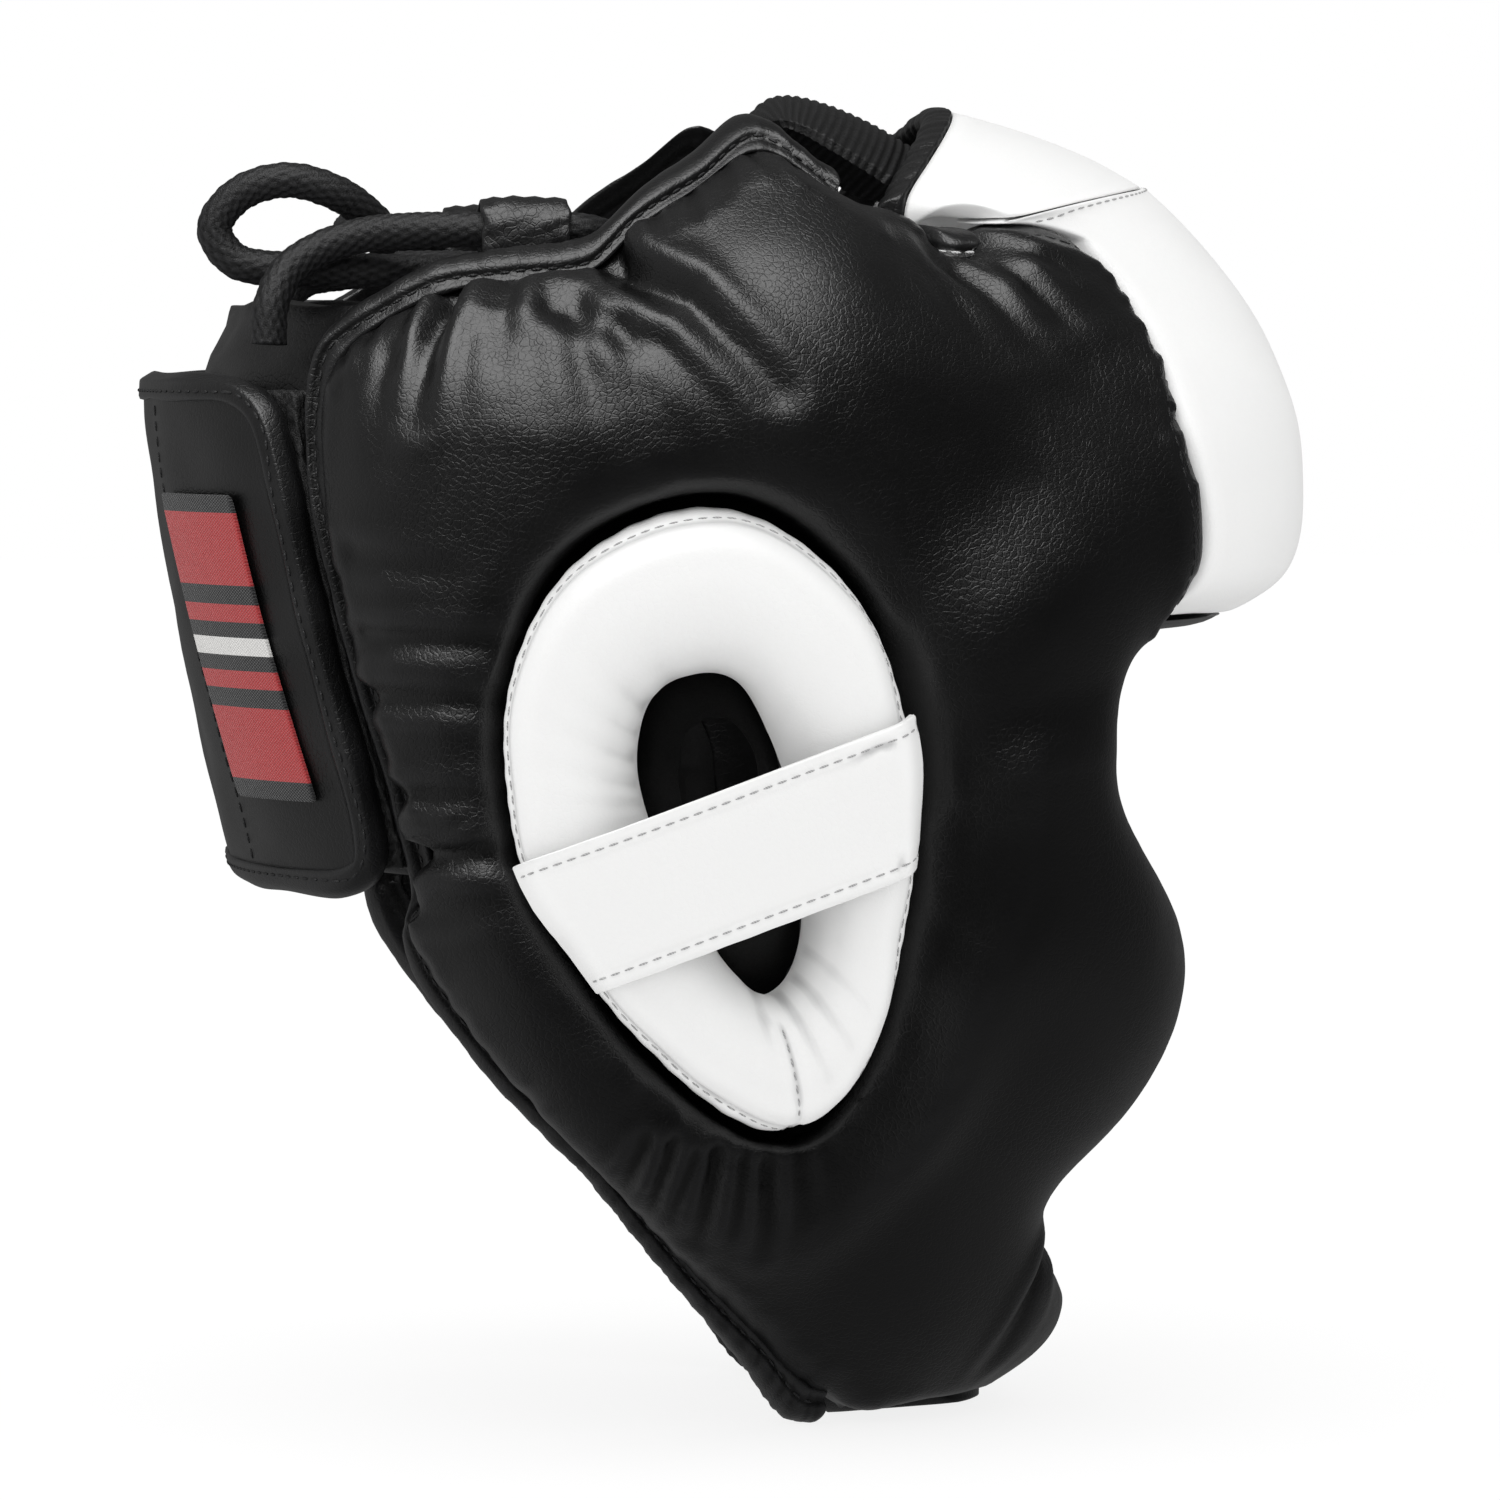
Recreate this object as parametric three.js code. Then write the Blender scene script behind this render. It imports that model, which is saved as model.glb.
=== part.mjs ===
// Kickboxing headgear: two padded leather sides with ear rings, a brow pad, a crown flap, a lace
// and a closing strap. Millimetres, +Z up, +X the way the face looks, +Y the wearer's left.
// The headgear stands on its chin strap and on the lower corners of its sides.

import * as THREE from 'three';
import { LoftGeometry } from 'three/addons/geometries/LoftGeometry.js';

// Driving dimensions
const GAP = 0.3;
const SEAT = 0.7;
const RIM_GAP = 1;
const HEAD_SQUARENESS = 2.4;
const EAR_HEIGHT = 132;
const MM_PER_DEGREE = 1.676;
const MIDDLE = 90 * MM_PER_DEGREE;
const CHIN_TURN = 97;
const CHIN_LEVELLING = 1.05;
const RIM_LIFT = 20;
const BINDING_WIDTH = 8;
const BINDING_SWELL = 0.9;
const RING_BACK = 4;
const LEDGE = RING_BACK - SEAT;
const RING_CROWN = 28;
const RING_SECTIONS = 36;
const EAR_BAND = { width: 29, thick: 2.2 };
const WEBBING = { thick: 2.4, half: 34 };
const CHIN_STRAP = { thick: 2.6, corner: 9, clear: 4.6 };
const LACE = { diameter: 7.6, sides: 8, steps: 64 };

// The head space: inner wall at the middle in front and behind, and its half width, at each height
const HEAD = [
  { z: 0, front: 37, back: -64, half: 38 },
  { z: 18, front: 45, back: -69, half: 44 },
  { z: 34, front: 47, back: -73, half: 50 },
  { z: 50, front: 53, back: -78, half: 57.5 },
  { z: 75, front: 64, back: -88, half: 69 },
  { z: 100, front: 69, back: -96, half: 75 },
  { z: 130, front: 75, back: -104, half: 78 },
  { z: 165, front: 79, back: -112, half: 79 },
  { z: 200, front: 80, back: -118, half: 77 },
  { z: 225, front: 76, back: -119, half: 71 },
  { z: 245, front: 70, back: -115, half: 63 },
  { z: 262, front: 62, back: -106, half: 53 },
  { z: 280, front: 50, back: -92, half: 40 },
];

// The side shell round the ear, by degrees from straight ahead: reach to the finished edge,
// thickness of the pad and of its end, how full the pad stays towards the end (2 is a round),
// and the number of sections up to the next row
const SHELL = [
  { at: 1, reach: 82, pad: 28, end: 10, full: 2.4, steps: 2 },
  { at: 8, reach: 80, pad: 29, end: 12, full: 2.6, steps: 2 },
  { at: 15, reach: 83, pad: 30, end: 14, full: 3, steps: 3 },
  { at: 24, reach: 93, pad: 31, end: 22, full: 4, steps: 1 },
  { at: 27, reach: 97, pad: 33, end: 32, full: 6, steps: 2 },
  { at: 34, reach: 104, pad: 36, end: 36, full: 8, steps: 2 },
  { at: 42, reach: 116, pad: 34, end: 34, full: 8, steps: 1 },
  { at: 45.5, reach: 130, pad: 31, end: 29, full: 7, steps: 1 },
  { at: 48, reach: 144, pad: 28, end: 22, full: 5, steps: 1 },
  { at: 50, reach: 151.5, pad: 26, end: 16.5, full: 4, steps: 1 },
  { at: 53, reach: 150, pad: 26, end: 13.5, full: 3, steps: 1 },
  { at: 56, reach: 144, pad: 26, end: 13, full: 2.4, steps: 3 },
  { at: 60, reach: 138.5, pad: 27, end: 11, full: 2.2, steps: 2 },
  { at: 64, reach: 138.5, pad: 28, end: 9.5, full: 2, steps: 1 },
  { at: 69, reach: 141.5, pad: 30, end: 8, full: 2, steps: 3 },
  { at: 77, reach: 147, pad: 31, end: 7, full: 1.9, steps: 3 },
  { at: 87, reach: 135, pad: 29, end: 7, full: 1.9, steps: 3 },
  { at: 96, reach: 127, pad: 26, end: 7, full: 1.9, steps: 3 },
  { at: 103, reach: 120, pad: 24, end: 7, full: 1.9, steps: 3 },
  { at: 112, reach: 124, pad: 26, end: 7, full: 1.9, steps: 3 },
  { at: 121, reach: 130, pad: 24, end: 7, full: 1.9, steps: 2 },
  { at: 130, reach: 131, pad: 21, end: 7, full: 1.9, steps: 2 },
  { at: 136, reach: 123, pad: 20, end: 7, full: 1.9, steps: 2 },
  { at: 150, reach: 98, pad: 20, end: 7, full: 1.9, steps: 2 },
  { at: 165, reach: 83, pad: 22, end: 7, full: 1.9, steps: 3 },
  { at: 180, reach: 76, pad: 23, end: 7, full: 1.9, steps: 2 },
  { at: 194, reach: 75, pad: 22, end: 7, full: 1.9, steps: 1 },
  { at: 198.5, reach: 84, pad: 22, end: 7, full: 1.9, steps: 2 },
  { at: 213, reach: 83.5, pad: 23, end: 7, full: 1.9, steps: 3 },
  { at: 238, reach: 86, pad: 24, end: 7, full: 1.9, steps: 3 },
  { at: 256, reach: 97, pad: 25, end: 7, full: 1.9, steps: 2 },
  { at: 268, reach: 109, pad: 24, end: 7, full: 1.9, steps: 2 },
  { at: 278, reach: 122, pad: 22, end: 7, full: 1.9, steps: 2 },
  { at: 287, reach: 138, pad: 18, end: 7, full: 1.9, steps: 1 },
  { at: 290.5, reach: 140.92, pad: 18, end: 7, full: 1.9, steps: 2 },
  { at: 298, reach: 145, pad: 20, end: 9, full: 2, steps: 2 },
  { at: 308, reach: 161, pad: 21, end: 9, full: 2.4, steps: 2 },
  { at: 309.9, reach: 250, pad: 21, end: 8, full: 3, steps: 1 },
  { at: 310.8, reach: 250, pad: 22, end: 19, full: 4, steps: 1 },
  { at: 311.6, reach: 250, pad: 23, end: 24, full: 6, steps: 1 },
  { at: 312.6, reach: 250, pad: 23, end: 20, full: 4, steps: 1 },
  { at: 313.5, reach: 250, pad: 22, end: 8, full: 3, steps: 1 },
  { at: 314.6, reach: 150, pad: 21, end: 8, full: 2.4, steps: 1 },
  { at: 316.2, reach: 133, pad: 22, end: 8, full: 2, steps: 3 },
  { at: 322.5, reach: 138, pad: 27, end: 11, full: 2.3, steps: 3 },
  { at: 334, reach: 131, pad: 32, end: 12, full: 2.6, steps: 2 },
  { at: 344, reach: 114, pad: 31, end: 11, full: 2.5, steps: 2 },
  { at: 353, reach: 95, pad: 29, end: 10, full: 2.4, steps: 2 },
];

// Stretches of the shell's edge, in degrees: sewn to the brow pad, or bound
const BROW_SEAM = { from: 24, to: 56 };
const WING_BOUND = { from: 57, to: 60 };
const EDGE_BOUND = { from: 69, to: 290.5 };

// Main folds and gathers in the shell's leather, from and to a place along and above the ear
const FOLDS = [
  { along: -27, rise: 118, toAlong: 3, toRise: 93, depth: 9, width: 7 },
  { along: -56, rise: 108, toAlong: -65, toRise: 86, depth: 6, width: 6 },
  { along: 60, rise: 118, toAlong: 72, toRise: 97, depth: 6, width: 7 },
  { along: -72, rise: -9, toAlong: -46, toRise: -7, depth: 4, width: 5 },
  { along: 98, rise: -93, toAlong: 94, toRise: -112, depth: 11, width: 8 },
  { along: -12, rise: -68, toAlong: -20, toRise: -86, depth: 3, width: 4 },
  { along: 6, rise: -74, toAlong: 6, toRise: -94, depth: 3, width: 4 },
];

// The ear ring round the ear: reach of its rim and of its hole
const RING = [
  { at: 0, rim: 36.5, hole: 15.5 },
  { at: 30, rim: 40.5, hole: 15.5 },
  { at: 60, rim: 54, hole: 19.5 },
  { at: 88, rim: 63, hole: 28.5 },
  { at: 115, rim: 60, hole: 29 },
  { at: 145, rim: 51, hole: 23.5 },
  { at: 180, rim: 44, hole: 18 },
  { at: 215, rim: 44, hole: 16.5 },
  { at: 245, rim: 51.5, hole: 20.5 },
  { at: 265, rim: 61.5, hole: 29.5 },
  { at: 283, rim: 69.5, hole: 39.5 },
  { at: 300, rim: 58.5, hole: 33 },
  { at: 325, rim: 42, hole: 19.5 },
];

// Shares of the way from the ear ring to the shell's edge: its points outside and inside, its crest
const OUTER_SHARES = [0, 0.18, 0.42, 0.65, 0.84, 0.95, 1];
const INNER_SHARES = [1, 0.7, 0.35, 0];
const CREST = 0.5;
const RIM_ROUNDING = 0.8;
const LEAST_LIFT = 4;
const FOLD_FADE = 0.6;

// Section of a binding: share of its width out from the shell, and of its thickness off the head
const BINDING_PROFILE = [
  { out: 0, lift: 0.03 },
  { out: 0, lift: 0.97 },
  { out: 0.6, lift: 1.06 },
  { out: 1, lift: 0.7 },
  { out: 1, lift: 0.25 },
];

// Shares of the way from the ear ring's rim to its hole, its crest, and the lift of its edge at the hole
const RING_SHARES = [0, 0.12, 0.3, 0.52, 0.75, 0.92, 1];
const RING_CREST = 0.45;
const HOLE_LIFT = 13;

// Ends of the band across the ear ring, along and above the ear
const BAND_FROM = { along: -31, rise: -21.5 };
const BAND_TO = { along: 29.8, rise: 3.5 };
const BAND_STEPS = 15;
const BAND_SIDES = [-0.5, 0, 0.5];

// Brow pad: its gap to the shell's seam, how far its top rises at the middle, its swell, and the dome
// of its upper part
const BROW_SET_OFF = { along: 1.1, rise: 0.5 };
const BROW_RISE = 9;
const BROW_SWELL = 2;
const BROW_DOME = { from: 0.4, to: 0.85, lift: 7 };
const BROW_STEPS = 12;

// Trim under the brow pad, with its section: drop below the pad and share of the pad's thickness
const TRIM = { reach: 0.92, span: 0.97 };
const TRIM_PROFILE = [
  { drop: 0, lift: 0.06 },
  { drop: 3.5, lift: 0.12 },
  { drop: 3.5, lift: 0.8 },
  { drop: 0, lift: 1 },
];

// Crown flap: share of the brow pad's width, its arched rear edge, its bulge and its binding
const FLAP_SPAN = 0.94;
const FLAP_FOOT = { low: 0.08, high: 0.98 };
const FLAP_EDGE = { x: 43, dropX: 17, half: 52, z: 277, dropZ: 20, thick: 7 };
const FLAP_BULGE = { ahead: 0.8, up: 1.6 };
const FLAP_STEPS = 12;
const FLAP_WAYS = [0, 0.3, 0.65, 1];
const FLAP_BINDING = { from: 0.9, deep: 6.5, swell: 1.12, sides: 7 };

// The rear edge of the sides, as a turn round the head at each height
const REAR = [
  { z: 108, turn: -43 },
  { z: 116, turn: -43.5 },
  { z: 132, turn: -44.8 },
  { z: 154, turn: -47.8 },
  { z: 181, turn: -50.7 },
  { z: 200, turn: -52.3 },
  { z: 222, turn: -53.5 },
];

// Sheets behind the head: heights, lift off the head space, thickness and faces across
const PANEL = { heights: [118, 147.75, 177.5, 207.25, 237], lift: -6, thick: 5.2, columns: 12, overlap: 6 };
const TAB = { heights: [120, 128, 167, 206, 217], lift: 1.5, thick: 4.2, columns: 6, from: 1, to: 34 };
const STRAP_HEIGHTS = [119, 121.5, 128, 167, 206, 212.5, 215];
const STRAP = { heights: STRAP_HEIGHTS, lift: 6.6, thick: 4, columns: 16, free: 3.4, sewn: 1, corner: 9 };
const STRAP_DIP = { from: 0.62, to: 0.95, depth: 4.6 };
const PATCH = { heights: [133, 167, 196], lift: 10.9, thick: 1, columns: 4, from: 8.4, to: 24.6 };

// Bound border of the strap: share of its width outwards and of the strap's thickness
const BORDER_WIDTH = 5;
const BORDER_PROFILE = [
  { reach: 0, lift: -0.05 },
  { reach: 0.8, lift: -0.05 },
  { reach: 1, lift: 0.5 },
  { reach: 0.7, lift: 1.15 },
  { reach: 0, lift: 1.2 },
];
const STRAP_MM_PER_DEGREE = 2;

// Crown webbing: shares of the flap that it starts under, its run over the fold where it gathers to a
// narrow strap, with its half width and how far its edges drop and sweep back, and its joint to the panel
const WEBBING_START = [0.6, 0.8, 0.98];
const WEBBING_FOLD = [
  { run: 35, z: 268.2, half: 34, drop: 8.8, sweep: 7.3 },
  { run: 31, z: 271.4, half: 34, drop: 9, sweep: 7.3 },
  { run: 22, z: 276, half: 34, drop: 9, sweep: 6 },
  { run: 12, z: 279.4, half: 32, drop: 8, sweep: 3 },
  { run: 5, z: 280, half: 29, drop: 6.5, sweep: 1 },
  { run: 1, z: 276, half: 21, drop: 3, sweep: 0 },
  { run: -2, z: 268, half: 11.5, drop: 0.5, sweep: 0 },
  { run: -8, z: 258, half: 8.5, drop: 0, sweep: 0 },
  { run: -30, z: 247, half: 8.5, drop: 0, sweep: 0 },
  { run: -60, z: 238, half: 8.5, drop: 0, sweep: 0 },
  { run: -90, z: 231, half: 8.5, drop: 0, sweep: 0 },
];
const WEBBING_SIDES = [-1, -0.55, 0, 0.55, 1];
const PANEL_JOINT = { top: 226, sewn: 220, end: 208, bend: 4, half: 8.5 };

// Sections of the chin strap down to the middle: height, way in from the jaw, lean from upright to flat,
// and where its rear and front edges run
const CHIN_ROWS = [
  { z: 36, inset: 0, lean: 0, rear: 8, front: 33 },
  { z: 27, inset: 0, lean: 0, rear: 8, front: 33 },
  { z: 18, inset: 0, lean: 0, rear: 8, front: 33 },
  { z: 9, inset: 0, lean: 0, rear: 9, front: 33 },
  { z: 3, inset: 1.5, lean: 35, rear: 11, front: 35 },
  { z: 0, inset: 6, lean: 90, rear: 13, front: 43 },
  { z: 0, inset: 14, lean: 90, rear: 14, front: 50 },
];

// Lace loops: their ends and middle, and the leather round the lace
const LOOP = { from: -62, to: -44, fromY: 52.1, toY: 54.9, z: 250.5, bore: 4.9, wall: 2.2, tail: 9 };
const LOOP_STEPS = 8;

// Middle line of the lace, from one hanging end through both loops to the bow and the other end
const LACE_ROUTE = [
  [-105.5, -50.5, 227], [-105, -50, 235], [-101.5, -47.5, 242], [-95, -45.5, 246.5], [-86, -46, 249.5],
  [-76, -49, 250.5], [-66, -51.4, 250.6], [-53, -53.5, 250.5], [-41, -54.8, 250.3], [-32, -47, 247.5],
  [-26, -30, 242.5], [-24, -10, 239], [-24, 10, 239], [-26, 30, 242.5], [-32, 47, 247.5],
  [-41, 54.8, 250.3], [-53, 53.5, 250.5], [-66, 51.4, 250.7], [-75, 45, 251], [-82, 31, 251],
  [-85, 12, 251.5], [-83, -8, 251], [-80, -22, 249], [-82, -32, 252], [-90, -37, 258], [-101, -38, 261],
  [-111, -36.5, 258], [-116, -36, 251], [-112, -36.5, 244.5], [-102, -37.5, 242.5], [-90, -39, 242.3],
  [-78, -39.5, 242], [-67, -35, 242], [-60, -24, 242.5], [-63, -11, 243], [-75, -5, 243], [-88, -8, 242],
  [-97, -14, 240], [-102, -18, 234], [-103.5, -19, 218],
];

const DEGREE = Math.PI / 180;

// A smooth curve through one column of a table that never swings past its rows
function smoothColumn(rows, key, name) {
  const at = rows.map((row) => row[key]);
  const value = rows.map((row) => row[name]);
  const rise = at.slice(1).map((next, i) => (value[i + 1] - value[i]) / (next - at[i]));
  const slope = value.map((_, i) => {
    const before = rise[i - 1] ?? rise[i];
    const after = rise[i] ?? before;
    return before * after > 0 ? (2 * before * after) / (before + after) : 0;
  });
  return (place) => {
    const x = THREE.MathUtils.clamp(place, at[0], at[at.length - 1]);
    const found = at.findIndex((edge) => edge > x);
    const i = (found < 0 ? at.length - 1 : found) - 1;
    const span = at[i + 1] - at[i];
    const t = (x - at[i]) / span;
    const start = value[i] * (1 + 2 * t) * (1 - t) ** 2 + slope[i] * span * t * (1 - t) ** 2;
    const end = value[i + 1] * t * t * (3 - 2 * t) + slope[i + 1] * span * t * t * (t - 1);
    return start + end;
  };
}

// The same for a table that runs once round the ear
function roundColumn(rows, name) {
  const turned = (turn) => rows.map((row) => ({ at: row.at + turn, [name]: row[name] }));
  const curve = smoothColumn([...turned(-360), ...turned(0), ...turned(360)], 'at', name);
  return (at) => curve(THREE.MathUtils.euclideanModulo(at, 360));
}

const headFront = smoothColumn(HEAD, 'z', 'front');
const headBack = smoothColumn(HEAD, 'z', 'back');
const headHalf = smoothColumn(HEAD, 'z', 'half');
const shellReach = roundColumn(SHELL, 'reach');
const shellPad = roundColumn(SHELL, 'pad');
const shellEnd = roundColumn(SHELL, 'end');
const shellFull = roundColumn(SHELL, 'full');
const ringRim = roundColumn(RING, 'rim');
const ringHole = roundColumn(RING, 'hole');

// A point at that turn from the wearer's right towards the face, lifted off the head space
function wrap(turn, z, lift) {
  const front = headFront(z);
  const back = headBack(z);
  const ahead = Math.sin(turn * DEGREE);
  const aside = Math.cos(turn * DEGREE);
  const long = Math.abs(ahead / ((front - back) / 2 + lift)) ** HEAD_SQUARENESS;
  const wide = Math.abs(aside / (headHalf(z) + lift)) ** HEAD_SQUARENESS;
  const radius = (long + wide) ** (-1 / HEAD_SQUARENESS);
  return new THREE.Vector3((front + back) / 2 + radius * ahead, -radius * aside, z);
}

// Places round the ear, along the head and above the ear; past the cheek the rays level out to the chin
function earPlace(at, distance) {
  const along = distance * Math.cos(at * DEGREE);
  const level = Math.max(0, along - CHIN_TURN) * CHIN_LEVELLING;
  return { along, rise: distance * Math.sin(at * DEGREE) + level };
}

function onPlace({ along, rise }, lift) {
  return wrap(along / MM_PER_DEGREE, EAR_HEIGHT + rise, lift);
}

function fromEar(at, distance, lift) {
  return onPlace(earPlace(at, distance), lift);
}

function within(at, stretch) {
  return at >= stretch.from && at <= stretch.to;
}

// Where the shell's own leather ends: at the middle of the chin, short of a binding, or at its edge
function shellLimit(at) {
  const ahead = Math.cos(at * DEGREE);
  const middle = ahead > 0 ? (MIDDLE - GAP) / ahead : Infinity;
  const bound = within(at, EDGE_BOUND) || within(at, WING_BOUND);
  return Math.min(middle, shellReach(at) - (bound ? BINDING_WIDTH : 0));
}

// Depth of the folds at a place on the shell, deepest at the start of each fold
function foldDepth({ along, rise }) {
  let depth = 0;
  for (const fold of FOLDS) {
    const run = new THREE.Vector2(fold.toAlong - fold.along, fold.toRise - fold.rise);
    const here = new THREE.Vector2(along - fold.along, rise - fold.rise);
    const t = THREE.MathUtils.clamp(here.dot(run) / run.lengthSq(), 0, 1);
    const away = here.addScaledVector(run, -t).length() / fold.width;
    depth += fold.depth * (1 - FOLD_FADE * t) * Math.exp(-away * away);
  }
  return depth;
}

// Lift of the shell's outer leather, a share of the way from the ear ring to the edge
function shellLift(at, share) {
  const pad = shellPad(at);
  if (share < CREST) {
    return RIM_LIFT + (pad - RIM_LIFT) * Math.sin((share / CREST) * 90 * DEGREE) ** RIM_ROUNDING;
  }
  const past = (share - CREST) / (1 - CREST);
  const full = shellFull(at);
  const end = Math.min(shellEnd(at), pad);
  return end + (pad - end) * (1 - past ** full) ** (1 / full);
}

function shellSection(at) {
  const start = ringRim(at) + RIM_GAP;
  const limit = shellLimit(at);
  const reachAt = (share) => start + (limit - start) * share;
  const outer = OUTER_SHARES.map((share) => {
    const place = earPlace(at, reachAt(share));
    return onPlace(place, Math.max(shellLift(at, share) - foldDepth(place), LEAST_LIFT));
  });
  const inner = INNER_SHARES.map((share) => fromEar(at, reachAt(share), 0));
  const hole = ringHole(at);
  const ledge = [fromEar(at, hole, 0), fromEar(at, hole, LEDGE), fromEar(at, start, LEDGE)];
  return [...outer, ...inner, ...ledge];
}

function shellAngles() {
  return SHELL.flatMap((row, i) => {
    const next = SHELL[i + 1]?.at ?? SHELL[0].at + 360;
    return Array.from({ length: row.steps }, (_, k) => row.at + ((next - row.at) * k) / row.steps);
  });
}

function centreOf(section) {
  return section.reduce((sum, point) => sum.add(point), new THREE.Vector3()).divideScalar(section.length);
}

// Twice the area inside a section, as a vector square to it
function areaOf(section) {
  const area = new THREE.Vector3();
  section.forEach((point, i) => {
    area.add(point.clone().cross(section[(i + 1) % section.length]));
  });
  return area;
}

// The same sections, run round the way that puts the outside of their skin outwards
function outwards(sections) {
  const centres = sections.map(centreOf);
  const turn = sections.slice(1).reduce((sum, section, i) => {
    const run = centres[i + 1].clone().sub(centres[i]);
    return sum + areaOf(section).dot(run);
  }, 0);
  return turn < 0 ? sections.map((section) => [...section].reverse()) : sections;
}

// A skin over sections that runs on round to the first of them
function ringLoft(sections) {
  return new LoftGeometry(outwards([...sections, sections[0]]));
}

// A skin over sections with both ends closed
function endedLoft(sections) {
  return new LoftGeometry(outwards(sections), { capStart: true, capEnd: true });
}

function leather(color) {
  return new THREE.MeshStandardMaterial({ color, roughness: 0.42, metalness: 0 });
}

function cloth(color) {
  return new THREE.MeshStandardMaterial({ color, roughness: 0.9, metalness: 0 });
}

const BLACK = 0x0d0d0e;
const WHITE = 0xf1f1f0;
const WOVEN = 0x8c1d1d;

const headgear = new THREE.Group();
const loose = new THREE.Group();
headgear.add(loose);

function addPiece(name, geometry, material, group = headgear) {
  const mesh = new THREE.Mesh(geometry, material);
  mesh.name = name;
  group.add(mesh);
}

// The same sections on the wearer's other side
function mirrored(sections) {
  return sections.map((section) => section.map((p) => new THREE.Vector3(p.x, -p.y, p.z)));
}

// A piece on the wearer's right and its mirror image on the left
function addPair(name, sections, skin, material) {
  addPiece(`${name}_right`, skin(sections), material);
  addPiece(`${name}_left`, skin(mirrored(sections)), material);
}

function steps(from, to, count) {
  return Array.from({ length: count + 1 }, (_, i) => from + ((to - from) * i) / count);
}

// Side shells
addPair('side_shell', shellAngles().map(shellSection), ringLoft, leather(BLACK));

// Bindings: a rolled edge that carries on from the shell's end
function bindingSection(at) {
  const edge = shellReach(at);
  const start = edge - BINDING_WIDTH + SEAT;
  const thick = shellEnd(at) + BINDING_SWELL;
  return BINDING_PROFILE.map(({ out, lift }) => fromEar(at, start + (edge - start) * out, thick * lift));
}

function bindingAlong(stretch) {
  return shellAngles().filter((at) => within(at, stretch)).map(bindingSection);
}

addPair('edge_binding', bindingAlong(EDGE_BOUND), endedLoft, leather(BLACK));
addPair('wing_binding', bindingAlong(WING_BOUND), endedLoft, leather(BLACK));

// Ear rings: lift of the white pad, a share of the way from its rim to its hole
function ringLift(share) {
  if (share < RING_CREST) {
    return RIM_LIFT + (RING_CROWN - RIM_LIFT) * Math.sqrt(1 - (1 - share / RING_CREST) ** 2);
  }
  const past = (share - RING_CREST) / (1 - RING_CREST);
  return HOLE_LIFT + (RING_CROWN - HOLE_LIFT) * Math.sqrt(1 - Math.min(past, 1) ** 2);
}

function ringSection(at) {
  const rim = ringRim(at);
  const reachAt = (share) => rim + (ringHole(at) - rim) * share;
  const outer = RING_SHARES.map((share) => fromEar(at, reachAt(share), ringLift(share)));
  const back = [1, 0].map((share) => fromEar(at, reachAt(share), RING_BACK));
  return [...outer, ...back];
}

const ringAngles = steps(0, 360, RING_SECTIONS).slice(0, -1);
addPair('ear_ring', ringAngles.map(ringSection), ringLoft, leather(WHITE));

// Bands across the ear rings, lying on the white pads and straight over the hole
function bandSection(way) {
  const run = new THREE.Vector2(BAND_TO.along - BAND_FROM.along, BAND_TO.rise - BAND_FROM.rise);
  const across = new THREE.Vector2(-run.y, run.x).normalize();
  const eased = 0.5 - 0.5 * Math.cos(way * 180 * DEGREE);
  const placeAt = (side) => ({
    along: BAND_FROM.along + run.x * eased + across.x * side * EAR_BAND.width,
    rise: BAND_FROM.rise + run.y * eased + across.y * side * EAR_BAND.width,
  });
  const under = (place) => {
    const at = Math.atan2(place.rise, place.along) / DEGREE;
    const rim = ringRim(at);
    const share = (rim - Math.hypot(place.along, place.rise)) / (rim - ringHole(at));
    return ringLift(THREE.MathUtils.clamp(share, 0, RING_CREST)) + SEAT + GAP;
  };
  const sides = BAND_SIDES.map(placeAt);
  const low = sides.map((place) => onPlace(place, under(place)));
  const high = sides.map((place) => onPlace(place, under(place) + EAR_BAND.thick));
  return [...low, ...high.reverse()];
}

addPair('ear_strap', steps(0, 1, BAND_STEPS).map(bandSection), endedLoft, leather(WHITE));

// Brow pad: each row starts at the shell's seam and runs across the forehead to the other seam
const seamAngles = shellAngles().filter((at) => within(at, BROW_SEAM));

function browPoint(at, across, liftShare) {
  const seam = earPlace(at, shellReach(at));
  seam.along += BROW_SET_OFF.along;
  seam.rise += BROW_SET_OFF.rise;
  const high = (at - BROW_SEAM.from) / (BROW_SEAM.to - BROW_SEAM.from);
  const middle = 1 - across * across;
  const turn = 90 + (90 - seam.along / MM_PER_DEGREE) * across;
  const dome = BROW_DOME.lift * THREE.MathUtils.smoothstep(high, BROW_DOME.from, BROW_DOME.to);
  const lift = (shellEnd(at) + (BROW_SWELL + dome) * middle) * liftShare;
  return wrap(turn, EAR_HEIGHT + seam.rise + BROW_RISE * high * high * middle, lift);
}

function browRow(at) {
  const places = steps(-1, 1, BROW_STEPS);
  const outer = places.map((across) => browPoint(at, across, 1));
  const inner = places.map((across) => browPoint(at, across, 0));
  return [...outer, ...inner.reverse()];
}

addPiece('forehead_pad', endedLoft(seamAngles.map(browRow)), leather(WHITE));

// Trim: the black edge turned up under the brow pad
function trimSection(across) {
  return TRIM_PROFILE.map(({ drop, lift }) => {
    const point = browPoint(BROW_SEAM.from, across, lift * TRIM.reach);
    return point.setZ(point.z - GAP - drop);
  });
}

addPiece('brow_trim', endedLoft(steps(-TRIM.span, TRIM.span, BROW_STEPS).map(trimSection)), leather(BLACK));

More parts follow.
